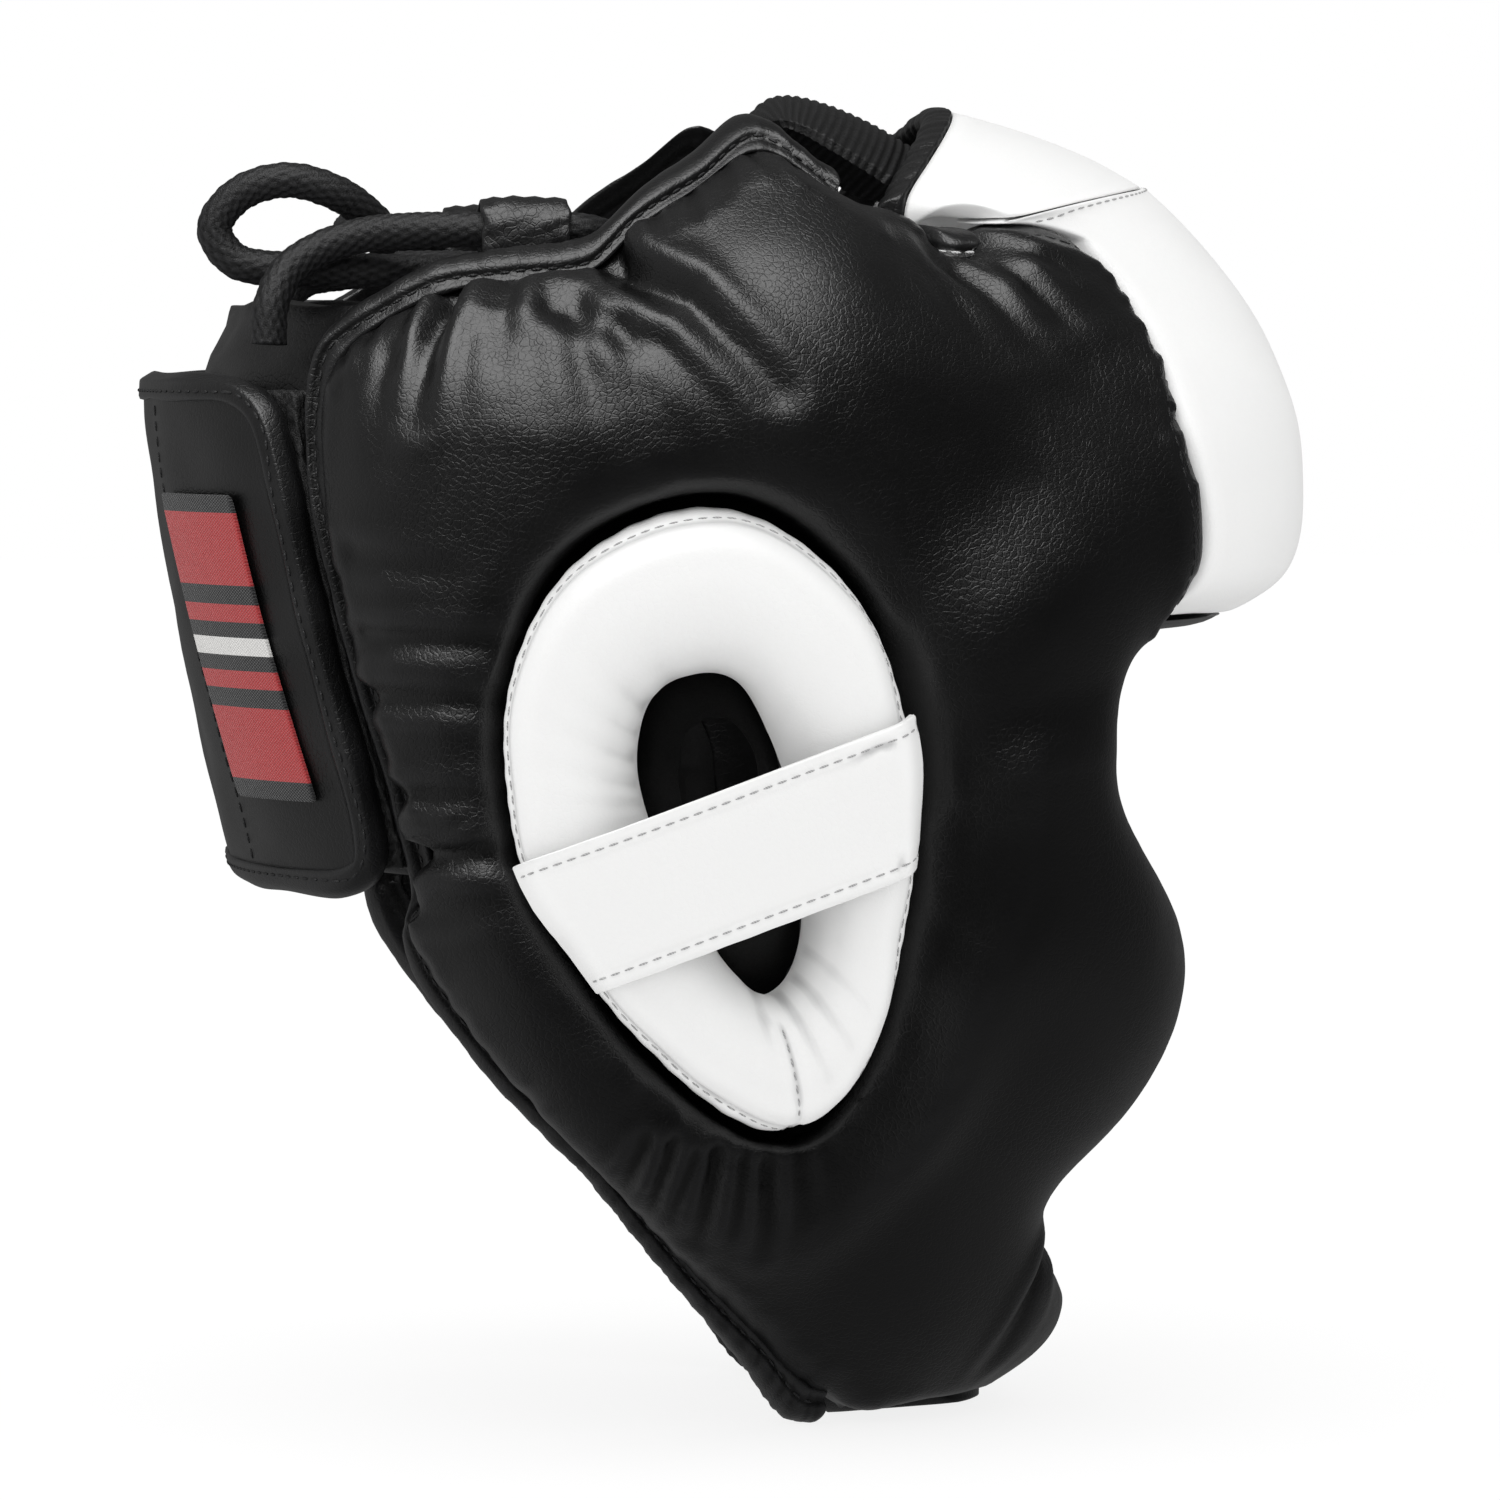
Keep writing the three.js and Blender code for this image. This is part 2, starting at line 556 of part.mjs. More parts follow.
// Crown flap: from the top of the brow pad back to an arched rear edge
function flapPoint(across, way, liftShare) {
  const bend = across * across;
  const foot = THREE.MathUtils.lerp(FLAP_FOOT.low, FLAP_FOOT.high, liftShare);
  const seam = browPoint(BROW_SEAM.to, across * FLAP_SPAN, foot);
  const edge = new THREE.Vector3(
    FLAP_EDGE.x - FLAP_EDGE.dropX * bend,
    FLAP_EDGE.half * across,
    FLAP_EDGE.z - FLAP_EDGE.dropZ * bend - FLAP_EDGE.thick * (1 - liftShare),
  );
  const point = seam.setZ(seam.z + GAP).lerp(edge, way);
  const bulge = 4 * way * (1 - way);
  const swell = new THREE.Vector3(FLAP_BULGE.ahead, FLAP_BULGE.ahead * across, FLAP_BULGE.up);
  return point.addScaledVector(swell, bulge);
}

function flapSection(across) {
  const outer = FLAP_WAYS.map((way) => flapPoint(across, way, 1));
  const inner = FLAP_WAYS.map((way) => flapPoint(across, way, 0));
  return [...outer, ...inner.reverse()];
}

addPiece('crown_flap', endedLoft(steps(-1, 1, FLAP_STEPS).map(flapSection)), leather(WHITE));

function flapBindingSection(across) {
  const top = flapPoint(across, 1, 1);
  const low = flapPoint(across, 1, 0);
  const behind = top.clone().sub(flapPoint(across, FLAP_BINDING.from, 1)).normalize();
  const middle = top.clone().add(low).divideScalar(2);
  const up = top.clone().sub(middle).multiplyScalar(FLAP_BINDING.swell);
  middle.addScaledVector(behind, GAP);
  return steps(0, 180, FLAP_BINDING.sides).map((turn) => {
    const out = Math.sin(turn * DEGREE) * FLAP_BINDING.deep;
    return middle.clone().addScaledVector(up, Math.cos(turn * DEGREE)).addScaledVector(behind, out);
  });
}

const flapBinding = steps(-1, 1, FLAP_STEPS).map(flapBindingSection);
addPiece('crown_flap_binding', endedLoft(flapBinding), leather(BLACK));

const rearTurn = smoothColumn(REAR, 'z', 'turn');

// A curved sheet behind the head, between two turns past the rear edges, of that lift and thickness
function rearSheet({ heights, from, to, liftAt, thick, columns }) {
  const ways = steps(0, 1, columns);
  return heights.map((z) => {
    const pointAt = (way, level) => wrap(from(z) + (to(z) - from(z)) * way, z, liftAt(way) + level * thick);
    const outer = ways.map((way) => pointAt(way, 1));
    const inner = ways.map((way) => pointAt(way, 0));
    return [...outer, ...inner.reverse()];
  });
}

const leftTurn = (z) => -180 - rearTurn(z);

// Back panel: inside the rear edges of both sides
addPiece('back_panel', endedLoft(rearSheet({
  ...PANEL,
  from: (z) => rearTurn(z) + PANEL.overlap,
  to: (z) => leftTurn(z) - PANEL.overlap,
  liftAt: () => PANEL.lift,
})), leather(BLACK));

// Tab with loop pile, sewn to the right rear edge under the closing strap
addPiece('loop_patch', endedLoft(rearSheet({
  ...TAB,
  from: (z) => rearTurn(z) - TAB.from,
  to: (z) => rearTurn(z) - TAB.to,
  liftAt: () => TAB.lift,
})), cloth(BLACK));

// Closing strap: sewn to the left rear edge, lying over the tab on the right
function strapLift(way) {
  return STRAP.lift - STRAP_DIP.depth * THREE.MathUtils.smoothstep(way, STRAP_DIP.from, STRAP_DIP.to);
}

// How far round a free corner of the strap a height is, from 0 below it to 1 or -1 at the end
const strapLow = STRAP_HEIGHTS[0];
const strapHigh = STRAP_HEIGHTS[STRAP_HEIGHTS.length - 1];

function cornerRise(z) {
  const above = Math.max(0, z - strapHigh + STRAP.corner);
  const below = Math.max(0, strapLow + STRAP.corner - z);
  return (above - below) / STRAP.corner;
}

function strapFrom(z) {
  const inset = STRAP.corner * (1 - Math.sqrt(1 - cornerRise(z) ** 2));
  return rearTurn(z) - STRAP.free - inset / STRAP_MM_PER_DEGREE;
}

const strapTo = (z) => leftTurn(z) + STRAP.sewn;
addPiece('back_strap', endedLoft(rearSheet({
  ...STRAP,
  from: strapFrom,
  to: strapTo,
  liftAt: strapLift,
})), leather(BLACK));

// Bound border round the strap's top, free end and bottom
function borderPlaces() {
  const top = steps(1, 0, STRAP.columns).map((way) => ({ way, z: strapHigh, out: [0, 1] }));
  const end = [...STRAP_HEIGHTS].reverse().map((z) => {
    const rise = cornerRise(z);
    return { way: 0, z, out: [Math.sqrt(1 - rise ** 2), rise] };
  });
  const low = steps(0, 1, STRAP.columns).map((way) => ({ way, z: strapLow, out: [0, -1] }));
  return [...top.slice(0, -1), ...end, ...low.slice(1)];
}

function borderSection({ way, z, out }) {
  const turn = strapFrom(z) + (strapTo(z) - strapFrom(z)) * way;
  const level = strapLift(way);
  return BORDER_PROFILE.map(({ reach, lift }) => {
    const away = SEAT + reach * BORDER_WIDTH;
    const outTurn = turn + (out[0] * away) / STRAP_MM_PER_DEGREE;
    return wrap(outTurn, z + out[1] * away, level + lift * STRAP.thick);
  });
}

addPiece('back_strap_binding', endedLoft(borderPlaces().map(borderSection)), leather(BLACK));

// Plain woven patch on the strap
addPiece('label_patch', endedLoft(rearSheet({
  ...PATCH,
  from: (z) => rearTurn(z) - PATCH.from,
  to: (z) => rearTurn(z) - PATCH.to,
  liftAt: () => PATCH.lift,
})), cloth(WOVEN));

// A curved strip along the middle of the head, from the points across it at each step
function stripSections(rows, thick) {
  const middle = rows.map((row) => row[(row.length - 1) / 2]);
  return rows.map((row, i) => {
    const run = middle[Math.min(i + 1, rows.length - 1)].clone().sub(middle[Math.max(i - 1, 0)]).normalize();
    const up = new THREE.Vector3(-run.z, 0, run.x).multiplyScalar(-thick / 2);
    const high = row.map((point) => point.clone().add(up));
    const low = row.map((point) => point.clone().sub(up));
    return [...high, ...low.reverse()];
  });
}

// Crown webbing: from under the flap over a fold and down to the back panel
const flapUnder = WEBBING_START.map((way) => WEBBING_SIDES.map((side) => {
  const point = flapPoint((side * WEBBING.half) / FLAP_EDGE.half, way, 0);
  return point.setZ(point.z - WEBBING.thick / 2 - 2 * SEAT);
}));
const webbingRow = ({ run, z, half, drop, sweep }) => WEBBING_SIDES.map((side) => (
  new THREE.Vector3(run - sweep * side * side, side * half, z - drop * side * side)
));
const panelRow = (z, bend) => {
  const face = wrap(-90, z, PANEL.lift).x + WEBBING.thick / 2 + RIM_GAP + SEAT;
  return webbingRow({ run: face + bend, z, half: PANEL_JOINT.half, drop: 0, sweep: 0 });
};
const webbing = stripSections([
  ...flapUnder,
  ...WEBBING_FOLD.map(webbingRow),
  panelRow(PANEL_JOINT.top, PANEL_JOINT.bend),
  panelRow(PANEL_JOINT.sewn, 0),
  panelRow(PANEL_JOINT.end, 0),
], WEBBING.thick);
addPiece('crown_webbing', endedLoft(webbing), cloth(BLACK));

// Chin strap: up inside one jaw, under the chin along the surface, and up inside the other
function jawInside(x, z) {
  const middle = (headFront(z) + headBack(z)) / 2;
  const long = Math.abs(x - middle) / (headFront(z) - middle);
  const wide = Math.max(0, 1 - long ** HEAD_SQUARENESS) ** (1 / HEAD_SQUARENESS);
  return headHalf(z) * wide - CHIN_STRAP.clear;
}

function chinStrapSection({ z, inset, lean, rear, front }) {
  const across = CHIN_STRAP.thick * Math.cos(lean * DEGREE);
  const up = CHIN_STRAP.thick * Math.sin(lean * DEGREE);
  const level = Math.max(z, CHIN_STRAP.corner);
  const reach = Math.min(front, CHIN_ROWS[0].front);
  const edges = [
    { x: rear, y: inset - jawInside(rear, level) },
    { x: front, y: inset - jawInside(reach, level) },
  ];
  const outer = edges.map(({ x, y }) => new THREE.Vector3(x, y, z));
  const inner = edges.map(({ x, y }) => new THREE.Vector3(x, y + across, z + up));
  return [...outer, ...inner.reverse()];
}

const chinHalf = CHIN_ROWS.map(chinStrapSection);
addPiece('chin_strap', endedLoft([...chinHalf, ...mirrored(chinHalf).reverse()]), leather(BLACK));

// Lace loops: leather arches sewn inside the top edges, the lace running through them
function loopSections(side) {
  const foot = (turn) => ({ turn, drop: LOOP.tail });
  const arch = steps(0, 180, LOOP_STEPS).map((turn) => ({ turn, drop: 0 }));
  return [foot(0), ...arch, foot(180)].map(({ turn, drop }) => {
    const pointAt = (x, radius) => {
      const y = side * THREE.MathUtils.mapLinear(x, LOOP.from, LOOP.to, LOOP.fromY, LOOP.toY);
      const up = radius * Math.sin(turn * DEGREE) - drop;
      return new THREE.Vector3(x, y + radius * Math.cos(turn * DEGREE), LOOP.z + up);
    };
    const out = LOOP.bore + LOOP.wall;
    const under = [pointAt(LOOP.from, LOOP.bore), pointAt(LOOP.to, LOOP.bore)];
    return [...under, pointAt(LOOP.to, out), pointAt(LOOP.from, out)];
  });
}

addPiece('lace_loop_right', endedLoft(loopSections(-1)), leather(BLACK));
addPiece('lace_loop_left', endedLoft(loopSections(1)), leather(BLACK));

// Lace: a round braid along its middle line
const laceCurve = new THREE.CatmullRomCurve3(LACE_ROUTE.map((point) => new THREE.Vector3(...point)));
const laceSection = new THREE.Shape();
laceSection.absarc(0, 0, LACE.diameter / 2, 0, 2 * Math.PI, false);
const laceMesh = new THREE.Mesh(
  new THREE.ExtrudeGeometry(laceSection, {
    steps: LACE.steps,
    curveSegments: LACE.sides / 2,
    bevelEnabled: false,
    extrudePath: laceCurve,
  }),
  cloth(BLACK),
);
laceMesh.name = 'lace';
loose.add(laceMesh);

// The origin lies under the middle of the headgear, on the surface that it stands on
const box = new THREE.Box3();
headgear.children.filter((child) => child !== loose).forEach((child) => box.expandByObject(child, true));
const middle = box.getCenter(new THREE.Vector3());
headgear.position.set(-middle.x, -middle.y, -box.min.z);

export default headgear;
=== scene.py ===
"""Looks of a kickboxing headgear: padded leather sides, ear rings, brow pad, lace and closing strap."""

import logging
import math
from collections.abc import Callable, Sequence
from dataclasses import dataclass, field
from enum import Enum
from typing import NamedTuple

import bmesh
import bpy
import numpy as np
from mathutils import Matrix, Vector
from mathutils.bvhtree import BVHTree
from mathutils.kdtree import KDTree


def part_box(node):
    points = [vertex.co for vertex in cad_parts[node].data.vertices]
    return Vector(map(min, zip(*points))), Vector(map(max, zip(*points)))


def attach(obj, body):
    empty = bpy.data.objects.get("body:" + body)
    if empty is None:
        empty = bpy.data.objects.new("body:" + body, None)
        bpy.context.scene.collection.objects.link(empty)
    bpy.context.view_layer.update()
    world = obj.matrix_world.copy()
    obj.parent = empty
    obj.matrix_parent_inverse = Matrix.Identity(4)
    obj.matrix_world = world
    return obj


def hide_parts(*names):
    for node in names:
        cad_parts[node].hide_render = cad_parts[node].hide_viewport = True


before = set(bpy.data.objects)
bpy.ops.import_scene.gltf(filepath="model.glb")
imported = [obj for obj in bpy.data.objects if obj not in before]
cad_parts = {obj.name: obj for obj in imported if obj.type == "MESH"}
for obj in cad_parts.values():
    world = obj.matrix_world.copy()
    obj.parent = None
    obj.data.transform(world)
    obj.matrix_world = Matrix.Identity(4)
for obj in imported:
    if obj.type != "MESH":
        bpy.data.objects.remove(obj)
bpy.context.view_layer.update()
LOG = logging.getLogger("headgear")
MM = 0.001
CHIN_FRONT = 50.0
Colour = tuple[float, float, float]
Array = np.ndarray
Piece = bpy.types.Object
Socket = bpy.types.NodeSocket


class Side(Enum):
    """The wearer's side that a paired piece sits on."""

    RIGHT = -1
    LEFT = 1

    @property
    def word(self) -> str:
        """The side's name as the nodes have it."""
        return self.name.lower()

    def flip(self, points: Array) -> Array:
        """Points given for the wearer's right, on this side."""
        return points * np.array([1, -self.value, 1])


class Slot(Enum):
    """The record's material slots."""

    BLACK = "black_leather"
    WHITE = "white_leather"
    LACE = "braided_lace"
    KNIT = "knit_elastic"
    PILE = "loop_pile"
    PATCH = "woven_patch"


class HeadRow(NamedTuple):
    """Inner wall of the head space at one height, in millimetres."""

    z: float
    front: float
    back: float
    half: float


class ShellRow(NamedTuple):
    """Finished edge of a side at one angle round the ear, and the thickness there."""

    at: float
    reach: float
    end: float


class RingRow(NamedTuple):
    """Rim and hole of an ear ring at one angle round the ear."""

    at: float
    rim: float
    hole: float


class Spots(NamedTuple):
    """Where points lie on the head, in millimetres, and round the ear, in degrees."""

    along: Array
    rise: Array
    lift: Array
    at: Array
    distance: Array
    inset: Array
    off_rim: Array


HEAD = tuple(HeadRow(*row) for row in (
    (0, 37, -64, 38), (18, 45, -69, 44), (34, 47, -73, 50), (50, 53, -78, 57.5), (75, 64, -88, 69),
    (100, 69, -96, 75), (130, 75, -104, 78), (165, 79, -112, 79), (200, 80, -118, 77), (225, 76, -119, 71),
    (245, 70, -115, 63), (262, 62, -106, 53), (280, 50, -92, 40),
))

SHELL = tuple(ShellRow(*row) for row in (
    (1, 82, 10), (8, 80, 12), (15, 83, 14), (24, 93, 22), (27, 97, 32), (34, 104, 36), (42, 116, 34),
    (45.5, 130, 29), (48, 144, 22), (50, 151.5, 16.5), (53, 150, 13.5), (56, 144, 13), (60, 138.5, 11),
    (64, 138.5, 9.5), (69, 141.5, 8), (77, 147, 7), (87, 135, 7), (96, 127, 7), (103, 120, 7),
    (112, 124, 7), (121, 130, 7), (130, 131, 7), (136, 123, 7), (150, 98, 7), (165, 83, 7), (180, 76, 7),
    (194, 75, 7), (198.5, 84, 7), (213, 83.5, 7), (238, 86, 7), (256, 97, 7), (268, 109, 7), (278, 122, 7),
    (287, 138, 7), (290.5, 140.92, 7), (298, 145, 9), (308, 161, 9), (316.2, 133, 8), (322.5, 138, 11),
    (334, 131, 12), (344, 114, 11), (353, 95, 10),
))

RING = tuple(RingRow(*row) for row in (
    (0, 36.5, 15.5), (30, 40.5, 15.5), (60, 54, 19.5), (88, 63, 28.5), (115, 60, 29), (145, 51, 23.5),
    (180, 44, 18), (215, 44, 16.5), (245, 51.5, 20.5), (265, 61.5, 29.5), (283, 69.5, 39.5),
    (300, 58.5, 33), (325, 42, 19.5),
))


def smooth_column(at: Sequence[float], value: Sequence[float]) -> Callable[[Array], Array]:
    """A smooth curve through a column of a table that never swings past its rows.

    Args:
        at: Where the rows lie, rising.
        value: The column's value in each row.

    Returns:
        A function that gives the value at any place.
    """
    x, y = np.asarray(at, float), np.asarray(value, float)
    rise = np.diff(y) / np.diff(x)
    before, after = np.append(rise[:1], rise), np.append(rise, rise[-1:])
    same = before * after > 0
    slope = np.where(same, 2 * before * after / np.where(same, before + after, 1), 0)

    def curve(place: Array) -> Array:
        """The column's value at a place."""
        p = np.clip(place, x[0], x[-1])
        i = np.clip(np.searchsorted(x, p, side="right") - 1, 0, len(x) - 2)
        span = x[i + 1] - x[i]
        t = (p - x[i]) / span
        start = y[i] * (1 + 2 * t) * (1 - t) ** 2 + slope[i] * span * t * (1 - t) ** 2
        end = y[i + 1] * t * t * (3 - 2 * t) + slope[i + 1] * span * t * t * (t - 1)
        return start + end

    return curve


def round_column(rows: Sequence[tuple], name: str) -> Callable[[Array], Array]:
    """The same for a table that runs once round the ear.

    Args:
        rows: The table.
        name: Its column.

    Returns:
        A function that gives the value at any angle, in degrees.
    """
    at = np.array([row.at for row in rows], float)
    value = np.array([getattr(row, name) for row in rows], float)
    curve = smooth_column(np.concatenate([at - 360, at, at + 360]), np.tile(value, 3))
    return lambda angle: curve(np.mod(angle, 360))


def ease(low: float, high: float, x: Array) -> Array:
    """A smooth step from 0 at low to 1 at high."""
    t = np.clip((x - low) / (high - low), 0, 1)
    return t * t * (3 - 2 * t)


def between(x: Array, low: float, full: float, still: float, high: float) -> Array:
    """A smooth rise from 0 at low to 1 at full, and a smooth fall from 1 at still to 0 at high."""
    return ease(low, full, x) * (1 - ease(still, high, x))


def bump(x: Array, width: float, middle: float = 0.0) -> Array:
    """A soft round bump of height 1 at the middle."""
    return np.exp(-(((x - middle) / width) ** 2))


def beside(
    line: Sequence[tuple[float, float]], across: Array, up: Array
) -> tuple[Array, Array, float]:
    """Where places lie beside a line of straight runs.

    Args:
        line: The line's corners.
        across: The places' first coordinate.
        up: The places' second coordinate.

    Returns:
        The distance from the line and the way along it for each place, and the line's whole length.
    """
    spots = np.array(line, float)
    steps = np.diff(spots, axis=0)
    lengths = np.hypot(*steps.T)
    starts = np.append(0, np.cumsum(lengths))
    gap, run = np.full(across.shape, np.inf), np.zeros(across.shape)
    for spot, step, length, start in zip(spots, steps, lengths, starts):
        dx, dy = across - spot[0], up - spot[1]
        t = np.clip((dx * step[0] + dy * step[1]) / length**2, 0, 1)
        here = np.hypot(dx - t * step[0], dy - t * step[1])
        near = here < gap
        gap, run = np.where(near, here, gap), np.where(near, start + t * length, run)
    return gap, run, float(starts[-1])


@dataclass(frozen=True)
class HeadForm:
    """The head space that every piece is laid out on: places along the head and above the ear."""

    squareness: float = 2.4
    ear_height: float = 132.0
    mm_per_degree: float = 1.676
    chin_turn: float = 97.0
    chin_levelling: float = 1.05
    seam_low: float = 24.0
    seam_high: float = 56.0
    seam_gap: tuple[float, float] = (1.1, 0.5)
    brow_fullness: tuple[float, float] = (2.0, 7.0)
    brow_arch: float = 9.0
    shift: float = field(default_factory=lambda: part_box("chin_strap")[1].x / MM - CHIN_FRONT)
    front: Callable = smooth_column([r.z for r in HEAD], [r.front for r in HEAD])
    back: Callable = smooth_column([r.z for r in HEAD], [r.back for r in HEAD])
    half: Callable = smooth_column([r.z for r in HEAD], [r.half for r in HEAD])
    reach: Callable = round_column(SHELL, "reach")
    end: Callable = round_column(SHELL, "end")
    rim: Callable = round_column(RING, "rim")
    hole: Callable = round_column(RING, "hole")

    def wrap(self, turn: Array, z: Array, lift: Array) -> Array:
        """Points at a turn from the wearer's right towards the face, lifted off the head space.

        Args:
            turn: Degrees from the wearer's right.
            z: Height in millimetres.
            lift: Distance off the head space in millimetres.

        Returns:
            Points in metres, one row each.
        """
        turn, z, lift = np.broadcast_arrays(np.radians(turn), np.asarray(z, float), np.asarray(lift, float))
        radius = self.radius(turn, z, lift)
        x = (self.front(z) + self.back(z)) / 2 + radius * np.sin(turn) + self.shift
        return np.stack([x, -radius * np.cos(turn), z], axis=-1) * MM

    def radius(self, turn: Array, z: Array, lift: Array) -> Array:
        """Distance from the head's middle line, for a turn in radians."""
        long = np.abs(np.sin(turn) / ((self.front(z) - self.back(z)) / 2 + lift)) ** self.squareness
        wide = np.abs(np.cos(turn) / (self.half(z) + lift)) ** self.squareness
        return (long + wide) ** (-1 / self.squareness)

    def from_ear(self, at: Array, distance: Array, lift: Array) -> Array:
        """Points at an angle and a distance from the ear, in metres.

        Args:
            at: Degrees from straight ahead, upwards.
            distance: Millimetres from the middle of the ear.
            lift: Millimetres off the head space.

        Returns:
            Points on the wearer's right, one row each.
        """
        along = distance * np.cos(np.radians(at))
        level = np.maximum(0, along - self.chin_turn) * self.chin_levelling
        rise = distance * np.sin(np.radians(at)) + level
        return self.on_place(along, rise, lift)

    def on_place(self, along: Array, rise: Array, lift: Array) -> Array:
        """Points along the head and above the ear, in metres."""
        return self.wrap(along / self.mm_per_degree, self.ear_height + rise, lift)

    def places(self, points: Array, side: Side) -> tuple[Array, Array, Array]:
        """Where points lie on the head.

        Args:
            points: Points in metres.
            side: The wearer's side that they are on.

        Returns:
            Millimetres along the head from the ear, above the ear, and off the head space.
        """
        x, y, z = (points / MM).T
        ahead = x - self.shift - (self.front(z) + self.back(z)) / 2
        turn = np.arctan2(ahead, side.value * y)
        lift = np.hypot(ahead, y) - self.radius(turn, z, np.zeros_like(z))
        return np.degrees(turn) * self.mm_per_degree, z - self.ear_height, lift

    def polar(self, along: Array, rise: Array) -> tuple[Array, Array]:
        """The angle round the ear, from 0 to 360 degrees, and the distance from it in millimetres."""
        flat = rise - np.maximum(0, along - self.chin_turn) * self.chin_levelling
        return np.degrees(np.arctan2(flat, along)) % 360, np.hypot(along, flat)

    def spots(self, points: Array, side: Side) -> Spots:
        """Where points lie on the head and round the ear.

        Args:
            points: Points in metres.
            side: The wearer's side that they are on.

        Returns:
            Their places, with the distance inside the side's edge and outside the ring's rim.
        """
        along, rise, lift = self.places(points, side)
        at, distance = self.polar(along, rise)
        return Spots(along, rise, lift, at, distance, self.reach(at) - distance, distance - self.rim(at))

    def brow_point(self, at: Array, across: Array, lift: float = 1.0) -> Array:
        """Points on the brow pad.

        Args:
            at: The seam's angle that the row starts from, 24 to 56.
            across: From -1 at the wearer's right seam to 1 at the left one.
            lift: Share of the pad's thickness.

        Returns:
            Points in metres, one row each.
        """
        along = self.reach(at) * np.cos(np.radians(at)) + self.seam_gap[0]
        rise = self.reach(at) * np.sin(np.radians(at)) + self.seam_gap[1]
        high = (at - self.seam_low) / (self.seam_high - self.seam_low)
        middle = 1 - across * across
        turn = 90 + (90 - along / self.mm_per_degree) * across
        low_full, high_full = self.brow_fullness
        thick = (self.end(at) + (low_full + high_full * ease(0.4, 0.85, high)) * middle) * lift
        return self.wrap(turn, self.ear_height + rise + self.brow_arch * high * high * middle, thick)


FORM = HeadForm()


class Nodes:
    """A node tree, built up node by node."""

    def __init__(self, tree: bpy.types.NodeTree) -> None:
        """Takes a tree.

        Args:
            tree: The node tree of a material or a world.
        """
        self.tree = tree

    def add(
        self, kind: str, _links: dict | None = None, _set: dict | None = None, **inputs: object
    ) -> bpy.types.Node:
        """Adds a node.

        Args:
            kind: The node's type without its prefix.
            _links: Output sockets to plug in, by input name or number.
            _set: Properties of the node itself.
            **inputs: Values of its input sockets; a low line stands for a space.

        Returns:
            The node.
        """
        node = self.tree.nodes.new("ShaderNode" + kind)
        for key, value in (_set or {}).items():
            setattr(node, key, value)
        for key, value in inputs.items():
            node.inputs[key.replace("_", " ")].default_value = value
        for key, socket in (_links or {}).items():
            self.tree.links.new(socket, node.inputs[key])
        return node

    def math(
        self, way: str, first: object, second: object = 0.0, third: object = 0.0
    ) -> Socket:
        """A sum of two or three sockets or numbers.

        Args:
            way: The operation.
            first: A socket or a number.
            second: A socket or a number.
            third: A socket or a number.

        Returns:
            The result's socket.
        """
        node = self.add("Math", _set={"operation": way})
        for i, value in enumerate((first, second, third)):
            if isinstance(value, Socket):
                self.tree.links.new(value, node.inputs[i])
            else:
                node.inputs[i].default_value = value
        return node.outputs[0]

    def ramp(
        self, socket: Socket, *stops: tuple[float, Colour], stepped: bool = False
    ) -> Socket:
        """Colours along a value.

        Args:
            socket: The value.
            *stops: Places and their colours.
            stepped: Whether each colour runs unchanged up to the next.

        Returns:
            The colour's socket.
        """
        node = self.add("ValToRGB", {"Fac": socket})
        if stepped:
            node.color_ramp.interpolation = "CONSTANT"
        points = node.color_ramp.elements
        while len(points) < len(stops):
            points.new(1.0)
        for point, (place, colour) in zip(points, stops):
            point.position = place
            point.color = (*colour, 1.0)
        return node.outputs["Color"]

    def span(
        self, socket: Socket, low: float, high: float, to_low: float, to_high: float
    ) -> Socket:
        """A value moved from one range to another, and kept inside it."""
        ends = {"From_Min": low, "From_Max": high, "To_Min": to_low, "To_Max": to_high}
        return self.add("MapRange", {"Value": socket}, **ends).outputs["Result"]


class Shader(Nodes):
    """A material's node tree with its surface shader."""

    def __init__(self, name: str) -> None:
        """Starts a material.

        Args:
            name: The material's name.
        """
        self.material = bpy.data.materials.new(name)
        self.material.use_nodes = True
        super().__init__(self.material.node_tree)
        self.surface = self.tree.nodes["Principled BSDF"]

    def attribute(self, name: str) -> Socket:
        """A value stored on the mesh."""
        return self.add("Attribute", _set={"attribute_name": name}).outputs["Fac"]

    def place(self) -> Socket:
        """Places on the object, in metres."""
        return self.add("TexCoord").outputs["Object"]

    def feed(self, **values: object) -> None:
        """Plugs sockets or sets values into the surface shader; a low line stands for a space."""
        for key, value in values.items():
            entry = self.surface.inputs[key.replace("_", " ")]
            if isinstance(value, Socket):
                self.tree.links.new(value, entry)
            else:
                entry.default_value = value

    def noise(self, scale: float, detail: float, **inputs: float) -> bpy.types.Node:
        """Soft noise over the object."""
        return self.add("TexNoise", {"Vector": self.place()}, Scale=scale, Detail=detail, **inputs)

    def shaded(self, colour: Socket, share: Socket) -> Socket:
        """A colour made lighter or darker by a share."""
        return self.add("HueSaturation", {"Color": colour, "Value": share}).outputs["Color"]

    def relief(self, height: Socket, strength: float, distance: float) -> None:
        """Plugs a height into the surface as bump."""
        bump = self.add("Bump", {"Height": height}, Strength=strength, Distance=distance)
        self.feed(Normal=bump.outputs["Normal"])


@dataclass(frozen=True)
class Finish:
    """A material that is made once, and the record's slot that it belongs to."""

    name: str
    slot: Slot

    def material(self) -> bpy.types.Material:
        """The material.

        Returns:
            The material, made at the first call.
        """
        if self.name not in bpy.data.materials:
            self.paint(Shader(self.name))
        return bpy.data.materials[self.name]

    def paint(self, shader: Shader) -> None:
        """Works the finish into a new material.

        Args:
            shader: The material's shader.
        """
        raise NotImplementedError


